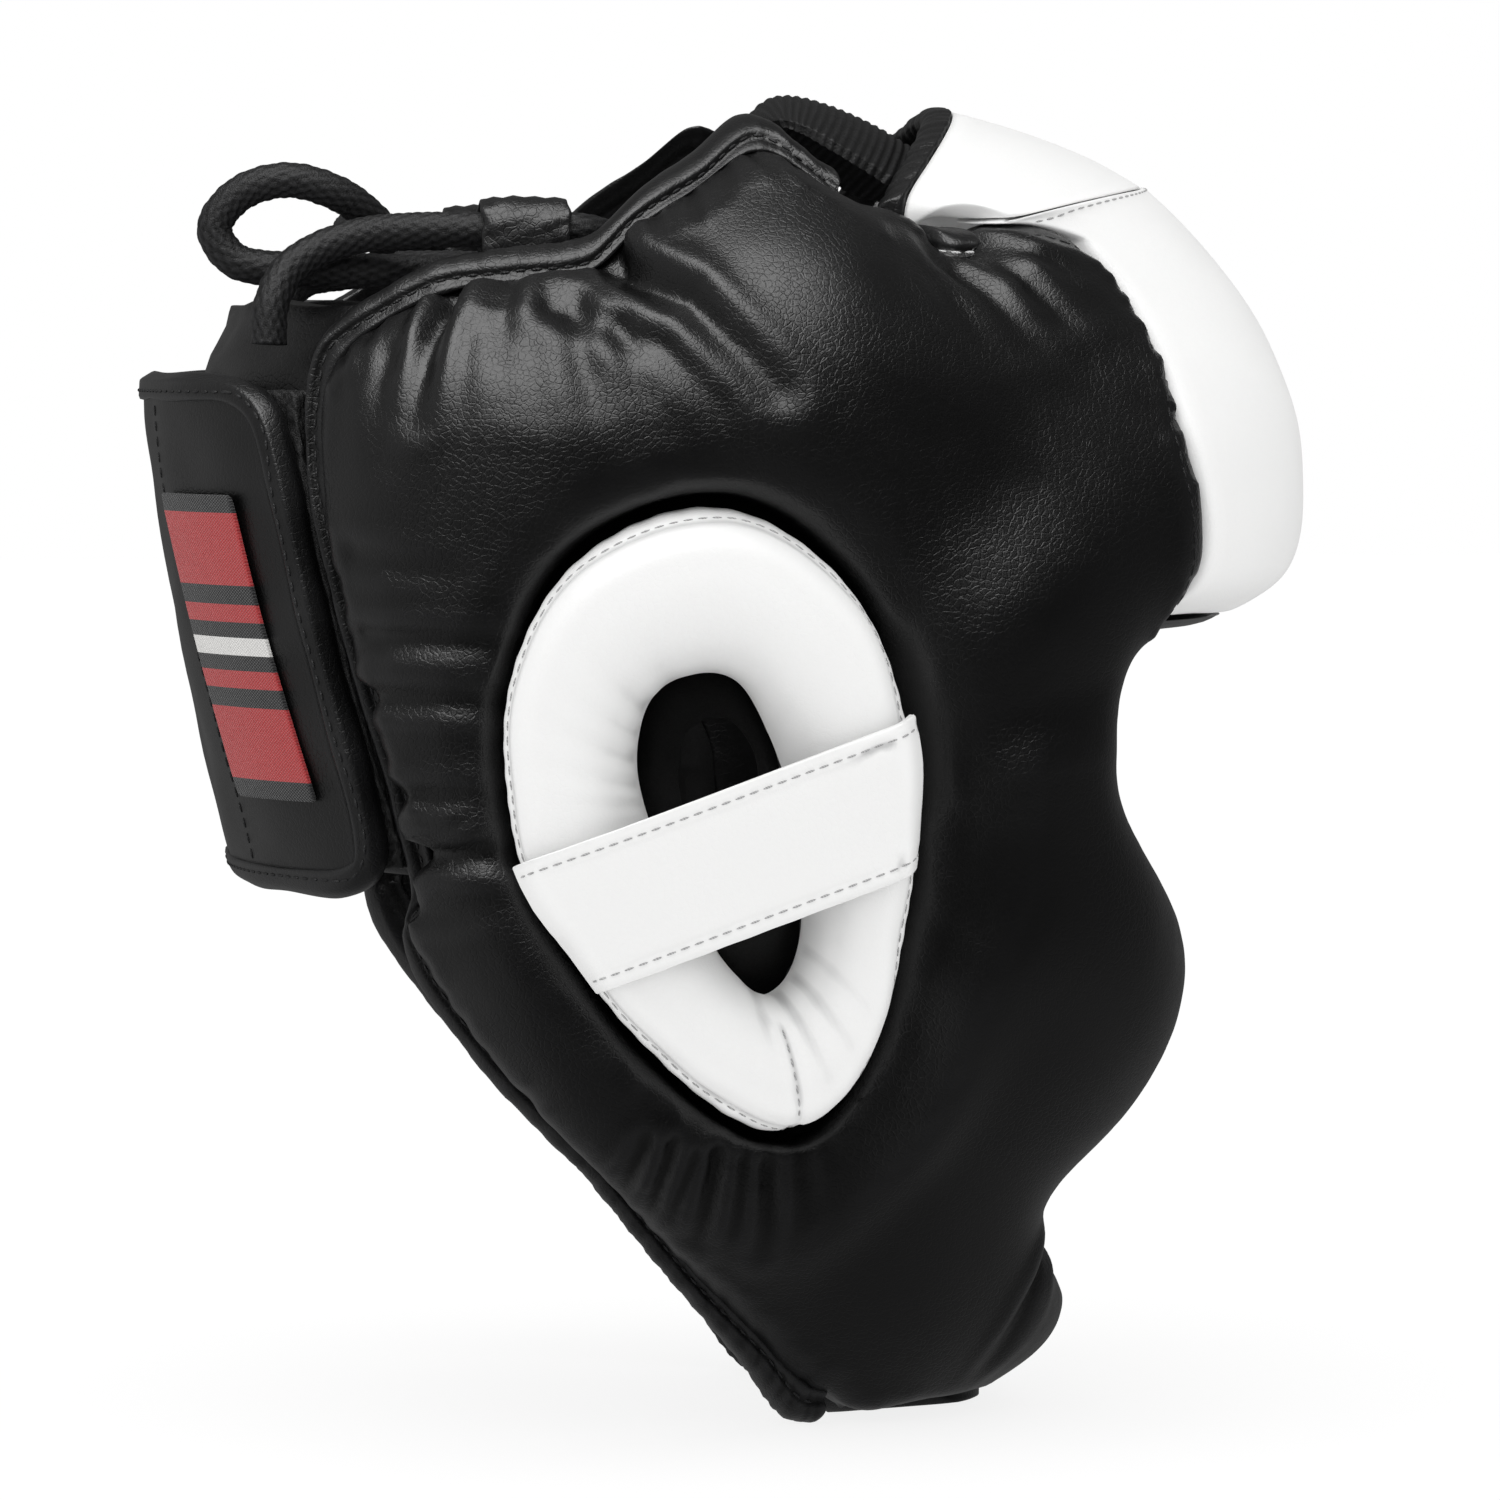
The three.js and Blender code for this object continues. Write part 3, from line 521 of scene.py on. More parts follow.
@dataclass(frozen=True)
class LeatherFinish(Finish):
    """Coated leather: fine pebbles, creased lines between them, painted shade in hollows and a lighter tone
    on edges.
    """

    colour: Colour
    # Colour in hollows and creases, darker than the leather: painted shade.
    hollow: Colour
    edge: Colour
    roughness: tuple[float, float] = (0.27, 0.36)
    pebble: float = 2200.0
    crease: float = 760.0
    relief: float = 0.5
    depth: float = 0.0001
    mottle: float = 0.06
    wander: float = 0.0016

    def paint(self, shader: Shader) -> None:
        """Works the leather into a new material."""
        drift = shader.noise(260.0, 2.0).outputs["Color"]
        bent = shader.add("VectorMath", {0: drift, 2: shader.place()}, {"operation": "MULTIPLY_ADD"})
        bent.inputs[1].default_value = (self.wander,) * 3
        where = {"Vector": bent.outputs[0]}
        pebbles = shader.add("TexVoronoi", where, Scale=self.pebble).outputs["Distance"]
        edges = shader.add("TexVoronoi", where, {"feature": "DISTANCE_TO_EDGE"}, Scale=self.crease)
        lines = shader.span(edges.outputs["Distance"], 0.0, 0.13, 0.0, 1.0)
        patches = shader.noise(38.0, 3.0).outputs["Fac"]
        marked = shader.math("MULTIPLY", lines, shader.span(patches, 0.35, 0.62, 0.35, 1.0))
        shader.relief(shader.math("MULTIPLY_ADD", pebbles, -0.55, marked), self.relief, self.depth)
        sheen = shader.span(patches, 0.3, 0.7, *self.roughness)
        # Painted shade: the tone darkens towards hollows and creases and lightens on edges.
        tone = shader.ramp(
            shader.attribute("hollow"), (0.25, self.edge), (0.5, self.colour), (0.85, self.hollow)
        )
        specks = shader.noise(700.0, 4.0, Roughness=0.7).outputs["Fac"]
        shade = shader.span(specks, 0.2, 0.8, 1 - self.mottle, 1 + self.mottle)
        shader.feed(
            Base_Color=shader.shaded(tone, shade), Specular_IOR_Level=0.5,
            Roughness=shader.math("MULTIPLY_ADD", pebbles, 0.08, sheen),
        )


@dataclass(frozen=True)
class ThreadFinish(Finish):
    """Waxed sewing thread, twisted from plies."""

    colour: Colour

    def paint(self, shader: Shader) -> None:
        """Works the thread into a new material."""
        bands = {"bands_direction": "DIAGONAL"}
        wave = shader.add("TexWave", {"Vector": shader.place()}, bands, Scale=900.0, Distortion=2.0)
        dark = tuple(0.6 * c for c in self.colour)
        plies = wave.outputs["Fac"]
        shader.feed(Base_Color=shader.ramp(plies, (0.1, dark), (0.7, self.colour)), Roughness=0.6)
        shader.relief(plies, 0.5, 0.0002)


@dataclass(frozen=True)
class BraidFinish(Finish):
    """Braided or knitted yarn, with painted shade between its strands and a painted highlight on their
    raised tops.
    """

    colour: Colour
    fibres: float = 2600.0

    def paint(self, shader: Shader) -> None:
        """Works the yarn into a new material."""
        strand = shader.attribute("strand")
        fibre = shader.noise(self.fibres, 3.0).outputs["Fac"]
        # Painted shade where the strands lie low, and a painted highlight on their raised tops.
        deep, strand_highlight = (tuple(share * c for c in self.colour) for share in (0.1, 2.6))
        mixed = shader.math("MULTIPLY_ADD", fibre, 0.4, shader.math("MULTIPLY", strand, 0.8))
        tone = shader.ramp(mixed, (0.15, deep), (0.6, self.colour), (1.0, strand_highlight))
        shader.feed(Base_Color=tone, Roughness=0.55, Specular_IOR_Level=0.35)
        shader.relief(fibre, 0.6, 0.0003)


@dataclass(frozen=True)
class PatchFinish(Finish):
    """Plain woven patch: coloured bands across it, with the weave's warp and weft."""

    bands: tuple[tuple[float, Colour], ...]
    ends: int = 46
    picks: int = 92

    def paint(self, shader: Shader) -> None:
        """Works the weave into a new material."""
        uv = shader.add("UVMap", _set={"uv_map": "weave"}).outputs["UV"]
        parts = shader.add("SeparateXYZ", {"Vector": uv}).outputs
        warp, weft = (
            shader.math("SINE", shader.math("MULTIPLY", parts[axis], 2 * math.pi * count))
            for axis, count in (("X", self.ends), ("Y", self.picks))
        )
        cross = shader.math("MULTIPLY", warp, weft)
        tone = shader.ramp(parts["Y"], *self.bands, stepped=True)
        shader.feed(
            Base_Color=shader.shaded(tone, shader.span(cross, -1, 1, 0.72, 1.12)),
            Roughness=0.72, Sheen_Weight=0.2,
        )
        shader.relief(cross, 0.7, 0.00025)


# In each leather, the second colour is painted shade in hollows and creases, and the third a lighter tone on
# edges.
BLACK = LeatherFinish(
    "black leather", Slot.BLACK, (0.0022, 0.0022, 0.0023), (0.001, 0.001, 0.001), (0.005, 0.005, 0.0053)
)
ROLLED = LeatherFinish(
    "black binding leather", Slot.BLACK, (0.0026, 0.0026, 0.0028), (0.001, 0.001, 0.001),
    (0.009, 0.009, 0.0095), roughness=(0.28, 0.38), crease=640.0,
)
# Darker than the black leather, so that the lining paints shade inside the ear hole.
LINING_AND_HOLE_SHADE = LeatherFinish(
    "black lining", Slot.BLACK, (0.001, 0.001, 0.001), (0.0008, 0.0008, 0.0008), (0.0012, 0.0012, 0.0012),
    roughness=(0.8, 0.9),
)
WHITE = LeatherFinish(
    "white leather", Slot.WHITE, (0.86, 0.86, 0.855), (0.6, 0.6, 0.6), (0.88, 0.88, 0.875),
    roughness=(0.42, 0.52), relief=0.25, depth=0.00009, mottle=0.008,
)
BLACK_THREAD = ThreadFinish("black thread", Slot.BLACK, (0.012, 0.012, 0.013))
# White thread, painted mid grey: the grey is painted shade of its sunken stitch holes.
WHITE_THREAD = ThreadFinish("white thread", Slot.WHITE, (0.5, 0.5, 0.5))
BRIGHT_THREAD = ThreadFinish("bright thread", Slot.BLACK, (0.75, 0.75, 0.75))
BRAID = BraidFinish("lace braid", Slot.LACE, (0.008, 0.008, 0.0085))
KNIT = BraidFinish("elastic knit", Slot.KNIT, (0.006, 0.006, 0.0064))
PILE = BraidFinish("loop pile", Slot.PILE, (0.006, 0.006, 0.0062), 3200.0)
RED = (0.46, 0.022, 0.025)
INK = (0.012, 0.012, 0.013)
PAPER = (0.8, 0.79, 0.77)
STRIPES = PatchFinish(
    "woven stripes", Slot.PATCH,
    ((0.0, INK), (0.06, RED), (0.3, INK), (0.36, RED), (0.42, INK), (0.47, PAPER), (0.53, INK), (0.58, RED),
     (0.64, INK), (0.7, RED), (0.94, INK)),
)


class Carving:
    """Mesh steps that the pieces share."""

    FRAMES = 20
    PRESSURE = 4.0

    @staticmethod
    def copy(node: str, name: str) -> Piece:
        """A new object with a merged copy of a solid's mesh, in quads where they fit.

        Args:
            node: The solid's name.
            name: The new object's name.

        Returns:
            The object, linked to the scene.
        """
        shape = bmesh.new()
        shape.from_mesh(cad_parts[node].data)
        bmesh.ops.remove_doubles(shape, verts=shape.verts, dist=2e-5)
        flat, even = math.radians(60), math.radians(80)
        bmesh.ops.join_triangles(
            shape, faces=shape.faces, angle_face_threshold=flat, angle_shape_threshold=even
        )
        return Carving.made(shape, name)

    @staticmethod
    def made(shape: bmesh.types.BMesh, name: str) -> Piece:
        """An object of a shape, which is freed.

        Args:
            shape: The shape.
            name: The object's name.

        Returns:
            The object, linked to the scene.
        """
        mesh = bpy.data.meshes.new(name)
        shape.to_mesh(mesh)
        shape.free()
        piece = bpy.data.objects.new(name, mesh)
        bpy.context.scene.collection.objects.link(piece)
        return piece

    @staticmethod
    def bake(piece: Piece) -> None:
        """Puts the result of a piece's modifiers into its mesh."""
        graph = bpy.context.evaluated_depsgraph_get()
        mesh = bpy.data.meshes.new_from_object(piece.evaluated_get(graph))
        old = piece.data
        piece.modifiers.clear()
        piece.data = mesh
        bpy.data.meshes.remove(old)
        mesh.name = piece.name

    @staticmethod
    def soften(piece: Piece, levels: int, keep: float = 40.0, hold: float = 0.6) -> None:
        """Rounds a piece with a subdivision surface that keeps part of its sharp edges.

        Args:
            piece: The piece.
            levels: Times that its faces are divided.
            keep: Degrees between faces past which an edge counts as sharp.
            hold: How sharp such an edge stays, from 0 to 1.
        """
        shape = bmesh.new()
        shape.from_mesh(piece.data)
        layer = shape.edges.layers.float.new("crease_edge")
        for edge in shape.edges:
            if len(edge.link_faces) == 2 and edge.calc_face_angle(0.0) > math.radians(keep):
                edge[layer] = hold
        shape.to_mesh(piece.data)
        shape.free()
        Carving.divide(piece, levels)

    @staticmethod
    def remesh(piece: Piece, size: float, rounds: int) -> None:
        """Gives a piece an even mesh and relaxes it.

        Args:
            piece: The piece.
            size: Length of the new edges in metres.
            rounds: Times that it is relaxed.
        """
        even = piece.modifiers.new("Even", "REMESH")
        even.mode = "VOXEL"
        even.voxel_size = size
        Carving.bake(piece)
        Carving.relax(piece, rounds)

    @staticmethod
    def relax(piece: Piece, rounds: int, chosen: Array | None = None) -> None:
        """Evens out a piece's points.

        Args:
            piece: The piece.
            rounds: Times that they are evened out.
            chosen: Which points move, or nothing for all.
        """
        shape = bmesh.new()
        shape.from_mesh(piece.data)
        verts = [vert for vert in shape.verts if chosen is None or chosen[vert.index]]
        for _ in range(rounds):
            bmesh.ops.smooth_vert(
                shape, verts=verts, factor=0.5, use_axis_x=True, use_axis_y=True, use_axis_z=True
            )
        shape.to_mesh(piece.data)
        shape.free()

    @staticmethod
    def swell(piece: Piece, held: Array, cap: float) -> None:
        """Fills a pad out by a cloth simulation with pressure inside, and keeps the result.

        Args:
            piece: The pad, with an even mesh.
            held: How firmly each point is held, from 0 to 1.
            cap: Farthest that a point may move, in millimetres.
        """
        group = piece.vertex_groups.new(name="held")
        for index, weight in enumerate(held):
            group.add([index], float(weight), "REPLACE")
        start = Carving.points(piece)
        skin = piece.modifiers.new("Skin", "CLOTH")
        how = skin.settings
        how.quality = 5
        how.mass = 0.3
        how.tension_stiffness = how.compression_stiffness = 25.0
        how.shear_stiffness = 8.0
        how.bending_stiffness = 3.0
        how.use_pressure = True
        how.uniform_pressure_force = Carving.PRESSURE
        how.vertex_group_mass = "held"
        how.effector_weights.gravity = 0.0
        skin.collision_settings.use_collision = False
        skin.point_cache.frame_start, skin.point_cache.frame_end = 1, Carving.FRAMES
        scene = bpy.context.scene
        for step in range(1, Carving.FRAMES + 1):
            scene.frame_set(step)
        graph = bpy.context.evaluated_depsgraph_get()
        shown = piece.evaluated_get(graph).to_mesh()
        flat = np.zeros(len(shown.vertices) * 3)
        shown.vertices.foreach_get("co", flat)
        piece.modifiers.remove(skin)
        scene.frame_set(1)
        piece.vertex_groups.clear()
        way = flat.reshape(-1, 3) - start
        far = np.linalg.norm(way, axis=1) / MM
        way *= (np.minimum(far, cap) / np.maximum(far, 1e-6))[:, None]
        Carving.place(piece, start + way)
        LOG.info("%s: swelled by %.1f mm at most, %.1f in the mean", piece.name, far.max(), far.mean())

    @staticmethod
    def divide(piece: Piece, levels: int) -> None:
        """Divides a piece's faces and rounds them."""
        rounding = piece.modifiers.new("Rounding", "SUBSURF")
        rounding.levels = rounding.render_levels = levels
        Carving.bake(piece)

    @staticmethod
    def points(piece: Piece) -> Array:
        """A piece's points, one row each."""
        flat = np.zeros(len(piece.data.vertices) * 3)
        piece.data.vertices.foreach_get("co", flat)
        return flat.reshape(-1, 3)

    @staticmethod
    def normals(piece: Piece) -> Array:
        """The directions square to a piece at its points, one row each."""
        flat = np.zeros(len(piece.data.vertices) * 3)
        piece.data.vertices.foreach_get("normal", flat)
        return flat.reshape(-1, 3)

    @staticmethod
    def push(piece: Piece, height: Array) -> None:
        """Moves a piece's points out along its normals.

        Args:
            piece: The piece.
            height: Distance for each point, in millimetres.
        """
        Carving.place(piece, Carving.points(piece) + Carving.normals(piece) * (height * MM)[:, None])

    @staticmethod
    def place(piece: Piece, points: Array) -> None:
        """Puts a piece's points in new places, one row each."""
        piece.data.vertices.foreach_set("co", points.ravel())
        piece.data.update()

    @staticmethod
    def store(piece: Piece, name: str, values: Array) -> None:
        """Keeps a value for each point on a piece's mesh.

        Args:
            piece: The piece.
            name: The value's name.
            values: One number for each point.
        """
        layer = piece.data.attributes.new(name, "FLOAT", "POINT")
        layer.data.foreach_set("value", np.asarray(values, np.float32))

    @staticmethod
    def mark_hollows(piece: Piece, scale: float = 0.12, rounds: int = 3) -> None:
        """Stores how hollow the surface is at each point, for painted shade in creases: 0.5 where flat, more
        in creases, less on edges.

        Args:
            piece: The piece.
            scale: Bend, in millimetres at each point, that counts as fully hollow.
            rounds: Times that the values are blurred.
        """
        mesh = piece.data
        ends = np.zeros(len(mesh.edges) * 2, np.int64)
        mesh.edges.foreach_get("vertices", ends)
        first, second = ends.reshape(-1, 2).T
        points, count = Carving.points(piece), len(mesh.vertices)
        degree = np.maximum(np.bincount(ends, minlength=count), 1)

        def around(values: Array) -> Array:
            """The mean of the neighbours' values."""
            total = np.bincount(first, values[second], count) + np.bincount(second, values[first], count)
            return total / degree

        mean = np.stack([around(column) for column in points.T], axis=1)
        bend = np.einsum("ij,ij->i", mean - points, Carving.normals(piece)) / MM
        for _ in range(rounds):
            bend = 0.5 * bend + 0.5 * around(bend)
        Carving.store(piece, "hollow", np.clip(0.5 + 0.5 * bend / scale, 0, 1))


class Cut(NamedTuple):
    """How a copy of a solid is rounded: times divided, degrees that are sharp, and how sharp it stays."""

    levels: int
    keep: float
    hold: float


class Dressing:
    @staticmethod
    def put(piece: Piece, finish: Finish, *nodes: str, fill: float | None = None) -> None:
        """Gives a piece its finish and its place in the frame.

        Args:
            piece: The piece.
            finish: Its finish.
            *nodes: The solids that it stands for.
            fill: How full it is stuffed, for a pad; not used.
        """
        piece.data.materials.clear()
        piece.data.materials.append(finish.material())
        piece.data.polygons.foreach_set("use_smooth", [True] * len(piece.data.polygons))
        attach(piece, "root")
        if nodes:
            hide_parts(*nodes)
        LOG.info("%s: %d points", piece.name, len(piece.data.vertices))

    @staticmethod
    def dress(
        node: str, name: str, finish: Finish, cut: Cut, work: Callable[[Piece], None] | None = None,
        hollow: float = 0.12, fill: float | None = None,
    ) -> Piece:
        """A rounded copy of a solid, worked and finished.

        Args:
            node: The solid that it stands for.
            name: The piece's name.
            finish: Its finish.
            cut: How it is rounded.
            work: What is worked into its shape.
            hollow: Bend, in millimetres at each point, that counts as fully hollow, where the painted shade
                is darkest.
            fill: How full it is stuffed, for a pad.

        Returns:
            The piece.
        """
        piece = Carving.copy(node, name)
        Carving.soften(piece, *cut)
        if work is not None:
            work(piece)
        Carving.mark_hollows(piece, hollow)
        Dressing.put(piece, finish, node, fill=fill)
        return piece


class Surface:
    """A dressed piece's skin, for laying stitches on it."""

    def __init__(self, *pieces: Piece) -> None:
        """Reads the skins.

        Args:
            *pieces: The pieces that a stitch may lie on.
        """
        graph = bpy.context.evaluated_depsgraph_get()
        self.trees = [BVHTree.FromObject(piece, graph) for piece in pieces]

    def drop(self, start: Array, end: Array) -> tuple[Vector, Vector] | None:
        """The first skin between two points.

        Args:
            start: A point outside.
            end: A point inside.

        Returns:
            The place and the direction square to the skin, or nothing.
        """
        origin, way = Vector(start), Vector(end) - Vector(start)
        hits = [tree.ray_cast(origin, way.normalized(), way.length) for tree in self.trees]
        found = [hit for hit in hits if hit[0] is not None]
        if not found:
            return None
        best = min(found, key=lambda hit: hit[3])
        return best[0], best[1]


TIP_UP = Matrix.Rotation(math.radians(90), 4, "Y")


@dataclass(frozen=True)
class Stitching:
    """A row of sewn stitches along a line on a skin."""

    pitch: float = 3.0
    length: float = 2.1
    width: float = 0.46
    height: float = 0.36
    sink: float = 0.1

    def line(self, skin: Surface, outside: Array, inside: Array) -> list[tuple[Vector, Vector]]:
        """Lays a line on a skin.

        Args:
            skin: The skin.
            outside: Points outside it.
            inside: The points that each is dropped towards.

        Returns:
            Places and directions square to the skin.
        """
        hits = [skin.drop(a, b) for a, b in zip(outside, inside)]
        return [hit for hit in hits if hit is not None]

    def sew(self, shape: bmesh.types.BMesh, line: list[tuple[Vector, Vector]]) -> None:
        """Adds the stitches along a line.

        Args:
            shape: The shape that they are added to.
            line: Places and directions square to the skin, close together.
        """
        if len(line) < 3:
            return
        places = np.array([place for place, _ in line])
        run = np.append(0, np.cumsum(np.linalg.norm(np.diff(places, axis=0), axis=1)))
        for middle in np.arange(self.pitch * MM / 2, run[-1], self.pitch * MM):
            ends = [middle - self.length * MM / 2, middle + self.length * MM / 2]
            at = [Vector([np.interp(s, run, column) for column in places.T]) for s in (middle, *ends)]
            normal = line[int(np.searchsorted(run, middle).clip(0, len(line) - 1))][1]
            ahead = (at[2] - at[1]).normalized()
            aside = normal.cross(ahead).normalized()
            up = ahead.cross(aside).normalized()
            half = (self.length / 2 * MM, self.width / 2 * MM, self.height / 2 * MM)
            turn = Matrix((ahead * half[0], aside * half[1], up * half[2])).transposed().to_4x4()
            spot = at[0] + up * (self.height / 2 - self.sink) * MM * 0.5
            place = Matrix.Translation(spot) @ turn @ TIP_UP
            bmesh.ops.create_uvsphere(shape, u_segments=6, v_segments=4, radius=1.0, matrix=place)


FINE = Stitching()
BOUND = Stitching(3.3, 2.3, 0.7, 0.5)


class Seams:
    """Collects the stitches of one thread on one sub-assembly into one piece."""

    def __init__(self, name: str, finish: ThreadFinish) -> None:
        """Starts with no stitches.

        Args:
            name: The piece's name.
            finish: The thread.
        """
        self.name, self.finish = name, finish
        self.shape = bmesh.new()

    def add(self, kind: Stitching, skin: Surface, outside: Array, inside: Array) -> None:
        """Sews a row along a line.

        Args:
            kind: The stitches.
            skin: What they lie on.
            outside: Points outside it.
            inside: The points that each is dropped towards.
        """
        kind.sew(self.shape, kind.line(skin, outside, inside))

    def finish_piece(self) -> None:
        """Makes the piece."""
        Dressing.put(Carving.made(self.shape, self.name), self.finish)


class Crease(NamedTuple):
    """A crease in leather along a line of places, each along the head and above the ear in millimetres."""

    line: tuple[tuple[float, float], ...]
    depth: float
    width: float
    lip: float = 0.5
    tail: float = 0.25

    def measure(self, along: Array, rise: Array) -> tuple[Array, Array]:
        """Where places lie beside the crease.

        Args:
            along: Places along the head.
            rise: Places above the ear.

        Returns:
            Millimetres away from the crease, and the share of its length, for each place.
        """
        gap, run, length = beside(self.line, along, rise)
        return gap, run / length

    def height(self, along: Array, rise: Array) -> Array:
        """How far the crease moves the skin.

        Args:
            along: Places along the head.
            rise: Places above the ear.

        Returns:
            Millimetres outwards for each place.
        """
        gap, way = self.measure(along, rise)
        away = gap / self.width
        fade = 1 - (1 - self.tail) * way**1.4
        lips = np.exp(-((away - 2.1) ** 2) / 1.1)
        return self.depth * fade * (self.lip * lips - np.exp(-away * away))


class Gathers(NamedTuple):
    """Small creases that leave an edge side by side, between two angles round the ear."""

    start: float
    stop: float
    count: int
    length: float
    depth: float
    width: float
    hem: float = 7.0

    def creases(self, seed: int) -> list[Crease]:
        """The creases, unevenly spaced.

        Args:
            seed: Number that their unevenness starts from.

        Returns:
            The creases.
        """
        chance = np.random.default_rng(seed)
        made = []
        for i in range(self.count):
            at = self.start + (self.stop - self.start) * (i + 0.5 + chance.uniform(-0.32, 0.32)) / self.count
            edge = float(FORM.reach(at)) - self.hem
            far = edge - self.length * chance.uniform(0.6, 1.25)
            lean = chance.uniform(-4, 4)
            ways = ((math.radians(at), edge), (math.radians(at + lean), far))
            spots = tuple((off * math.cos(way), off * math.sin(way)) for way, off in ways)
            depth = self.depth * chance.uniform(0.55, 1.2)
            made.append(Crease(spots, depth, self.width * chance.uniform(0.8, 1.3)))
        return made


@dataclass
class SidePad:
    """One padded leather side, with its bindings and seams."""

    side: Side
    voxel: float = 2.6
    slack: float = 1.6
    tuck: float = 1.0
    moat: float = 1.3
    evening: int = 70
    refill: float = 1.5
    jaw_refill: float = 3.0
    low_roll: float = 3.0
    bound: float = 5.6
    folds: tuple[Crease, ...] = (
        Crease(((-24, 113), (-11, 108), (-0.5, 104), (9.6, 92), (14, 86)), 3.6, 3.4, 0.7),
        Crease(((-30, 104), (-18, 100), (-7, 95), (0, 89), (4, 84)), 1.6, 3.2, 0.5),
        Crease(((-55.8, 104), (-56, 90), (-57, 80)), 2.6, 2.6, 0.7),
        Crease(((70, 118), (75, 114), (74, 110), (76.3, 101)), 2.2, 2.6, 0.6),
        Crease(((62, 112), (66, 106), (68, 96)), 1.2, 3.0, 0.5),
        Crease(((-70, -9), (-58, -8.4), (-46, -8.6)), 2.6, 2.4, 0.7),
        Crease(((100, -93), (96, -104), (94, -116)), 2.4, 3.2, 0.5),
    )
    valleys: tuple[Crease, ...] = (
        Crease(((-41, 103), (-39, 84)), 1.3, 3.4, 0.5),
        Crease(((-33.6, 103), (-32, 82)), 1.1, 3.0, 0.5),
        Crease(((-26.5, 102), (-22, 84)), 1.2, 3.2, 0.5),
        Crease(((-15.8, 98), (-12, 86)), 0.8, 2.6, 0.5),
        Crease(((-64, 92), (-63, 72)), 0.9, 3.0, 0.5),
        Crease(((-48, 96), (-47, 82)), 0.7, 2.6, 0.5),
        Crease(((-71, 35.5), (-57, 35.2), (-44, 34.6)), 1.5, 2.3, 0.7),
        Crease(((-71, 23.4), (-57, 23), (-45, 22.5)), 1.4, 2.2, 0.7),
        Crease(((-71, 3.1), (-59, 3.4), (-48, 3.3)), 1.3, 2.2, 0.7),
        Crease(((-71, 52), (-60, 50), (-50, 49)), 0.9, 2.4, 0.6),
        Crease(((-70, -20), (-58, -21), (-48, -19)), 1.0, 2.2, 0.6),
        Crease(((-63, -1.5), (-56, -2.5), (-50, -1)), 0.7, 1.2, 0.7),
        Crease(((-61, -5), (-54, -4.2)), 0.6, 1.0, 0.7),
        Crease(((-20.6, -67), (-27, -76)), 0.9, 1.8, 0.6),
        Crease(((-15.5, -68), (-20, -82)), 1.4, 1.7, 0.6),
        Crease(((-10.4, -70), (-15, -81)), 0.8, 1.5, 0.6),
        Crease(((-5, -71), (-8, -88)), 1.5, 2.1, 0.6),
        Crease(((1.4, -72), (1, -84)), 0.8, 1.7, 0.6),
        Crease(((8, -74), (9, -90)), 1.2, 2.3, 0.6),
        Crease(((15, -73), (19, -82)), 0.5, 2.2, 0.6),
        Crease(((76.4, 117), (85, 111)), 0.9, 1.8, 0.6),
        Crease(((80, 116), (83, 103)), 0.6, 2.2, 0.5),
        Crease(((56, 108), (60, 94)), 0.6, 3.0, 0.5),
        Crease(((104, -96), (101, -112)), 0.8, 2.2, 0.5),
    )
    gathers: tuple[Gathers, ...] = (
        Gathers(73, 102, 7, 9, 0.5, 1.5),
        Gathers(104, 134, 8, 11, 0.5, 1.6),
        Gathers(140, 182, 8, 9, 0.4, 1.6),
        Gathers(190, 236, 8, 9, 0.3, 1.6),
        Gathers(240, 288, 9, 8, 0.25, 1.6),
    )

    def build(self) -> None:
        """Builds the pad, its bindings and its stitches."""
        word = self.side.word
        shell = Carving.copy(f"side_shell_{word}", f"side_pad_{word}")
        Carving.soften(shell, 2, 55.0, 0.5)
        Carving.remesh(shell, self.voxel * MM, 2)
        self.fill(shell)
        Carving.divide(shell, 1)
        self.square(shell)
        self.crumple(shell)
        self.meet(shell)
        Carving.mark_hollows(shell)
        Dressing.put(shell, BLACK, f"side_shell_{word}", fill=0.8)
        rolls = [self.roll(f"edge_binding_{word}", 0.9), self.roll(f"wing_binding_{word}", 0.6)]
        self.sew(shell, rolls)

    def fill(self, shell: Piece) -> None:
        """Fills the pad out between its seams, its lining and its main folds.

        Args:
            shell: The pad.
        """
        spot = FORM.spots(Carving.points(shell), self.side)
        at = spot.at
        sewn = ((at > 23) & (at < 61)) | ((at > 67) & (at < 291))
        inset = np.where(sewn, spot.inset - np.where((at > 23) & (at < 56), 0, 8), 20)
        loose = ease(3, 9, spot.lift) * ease(0.5, 8, inset) * ease(0.5, 9, spot.off_rim)
        Carving.relax(shell, self.evening, (loose > 0.8) & (spot.lift > 12))
        for fold in self.folds:
            gap, way = fold.measure(spot.along, spot.rise)
            loose *= 1 - 0.9 * (1 - 0.7 * way) * bump(gap, 1.2 * fold.width)
        Carving.push(shell, (self.refill - self.slack) * loose)
        Carving.swell(shell, 1 - loose, 2.0 * self.slack)

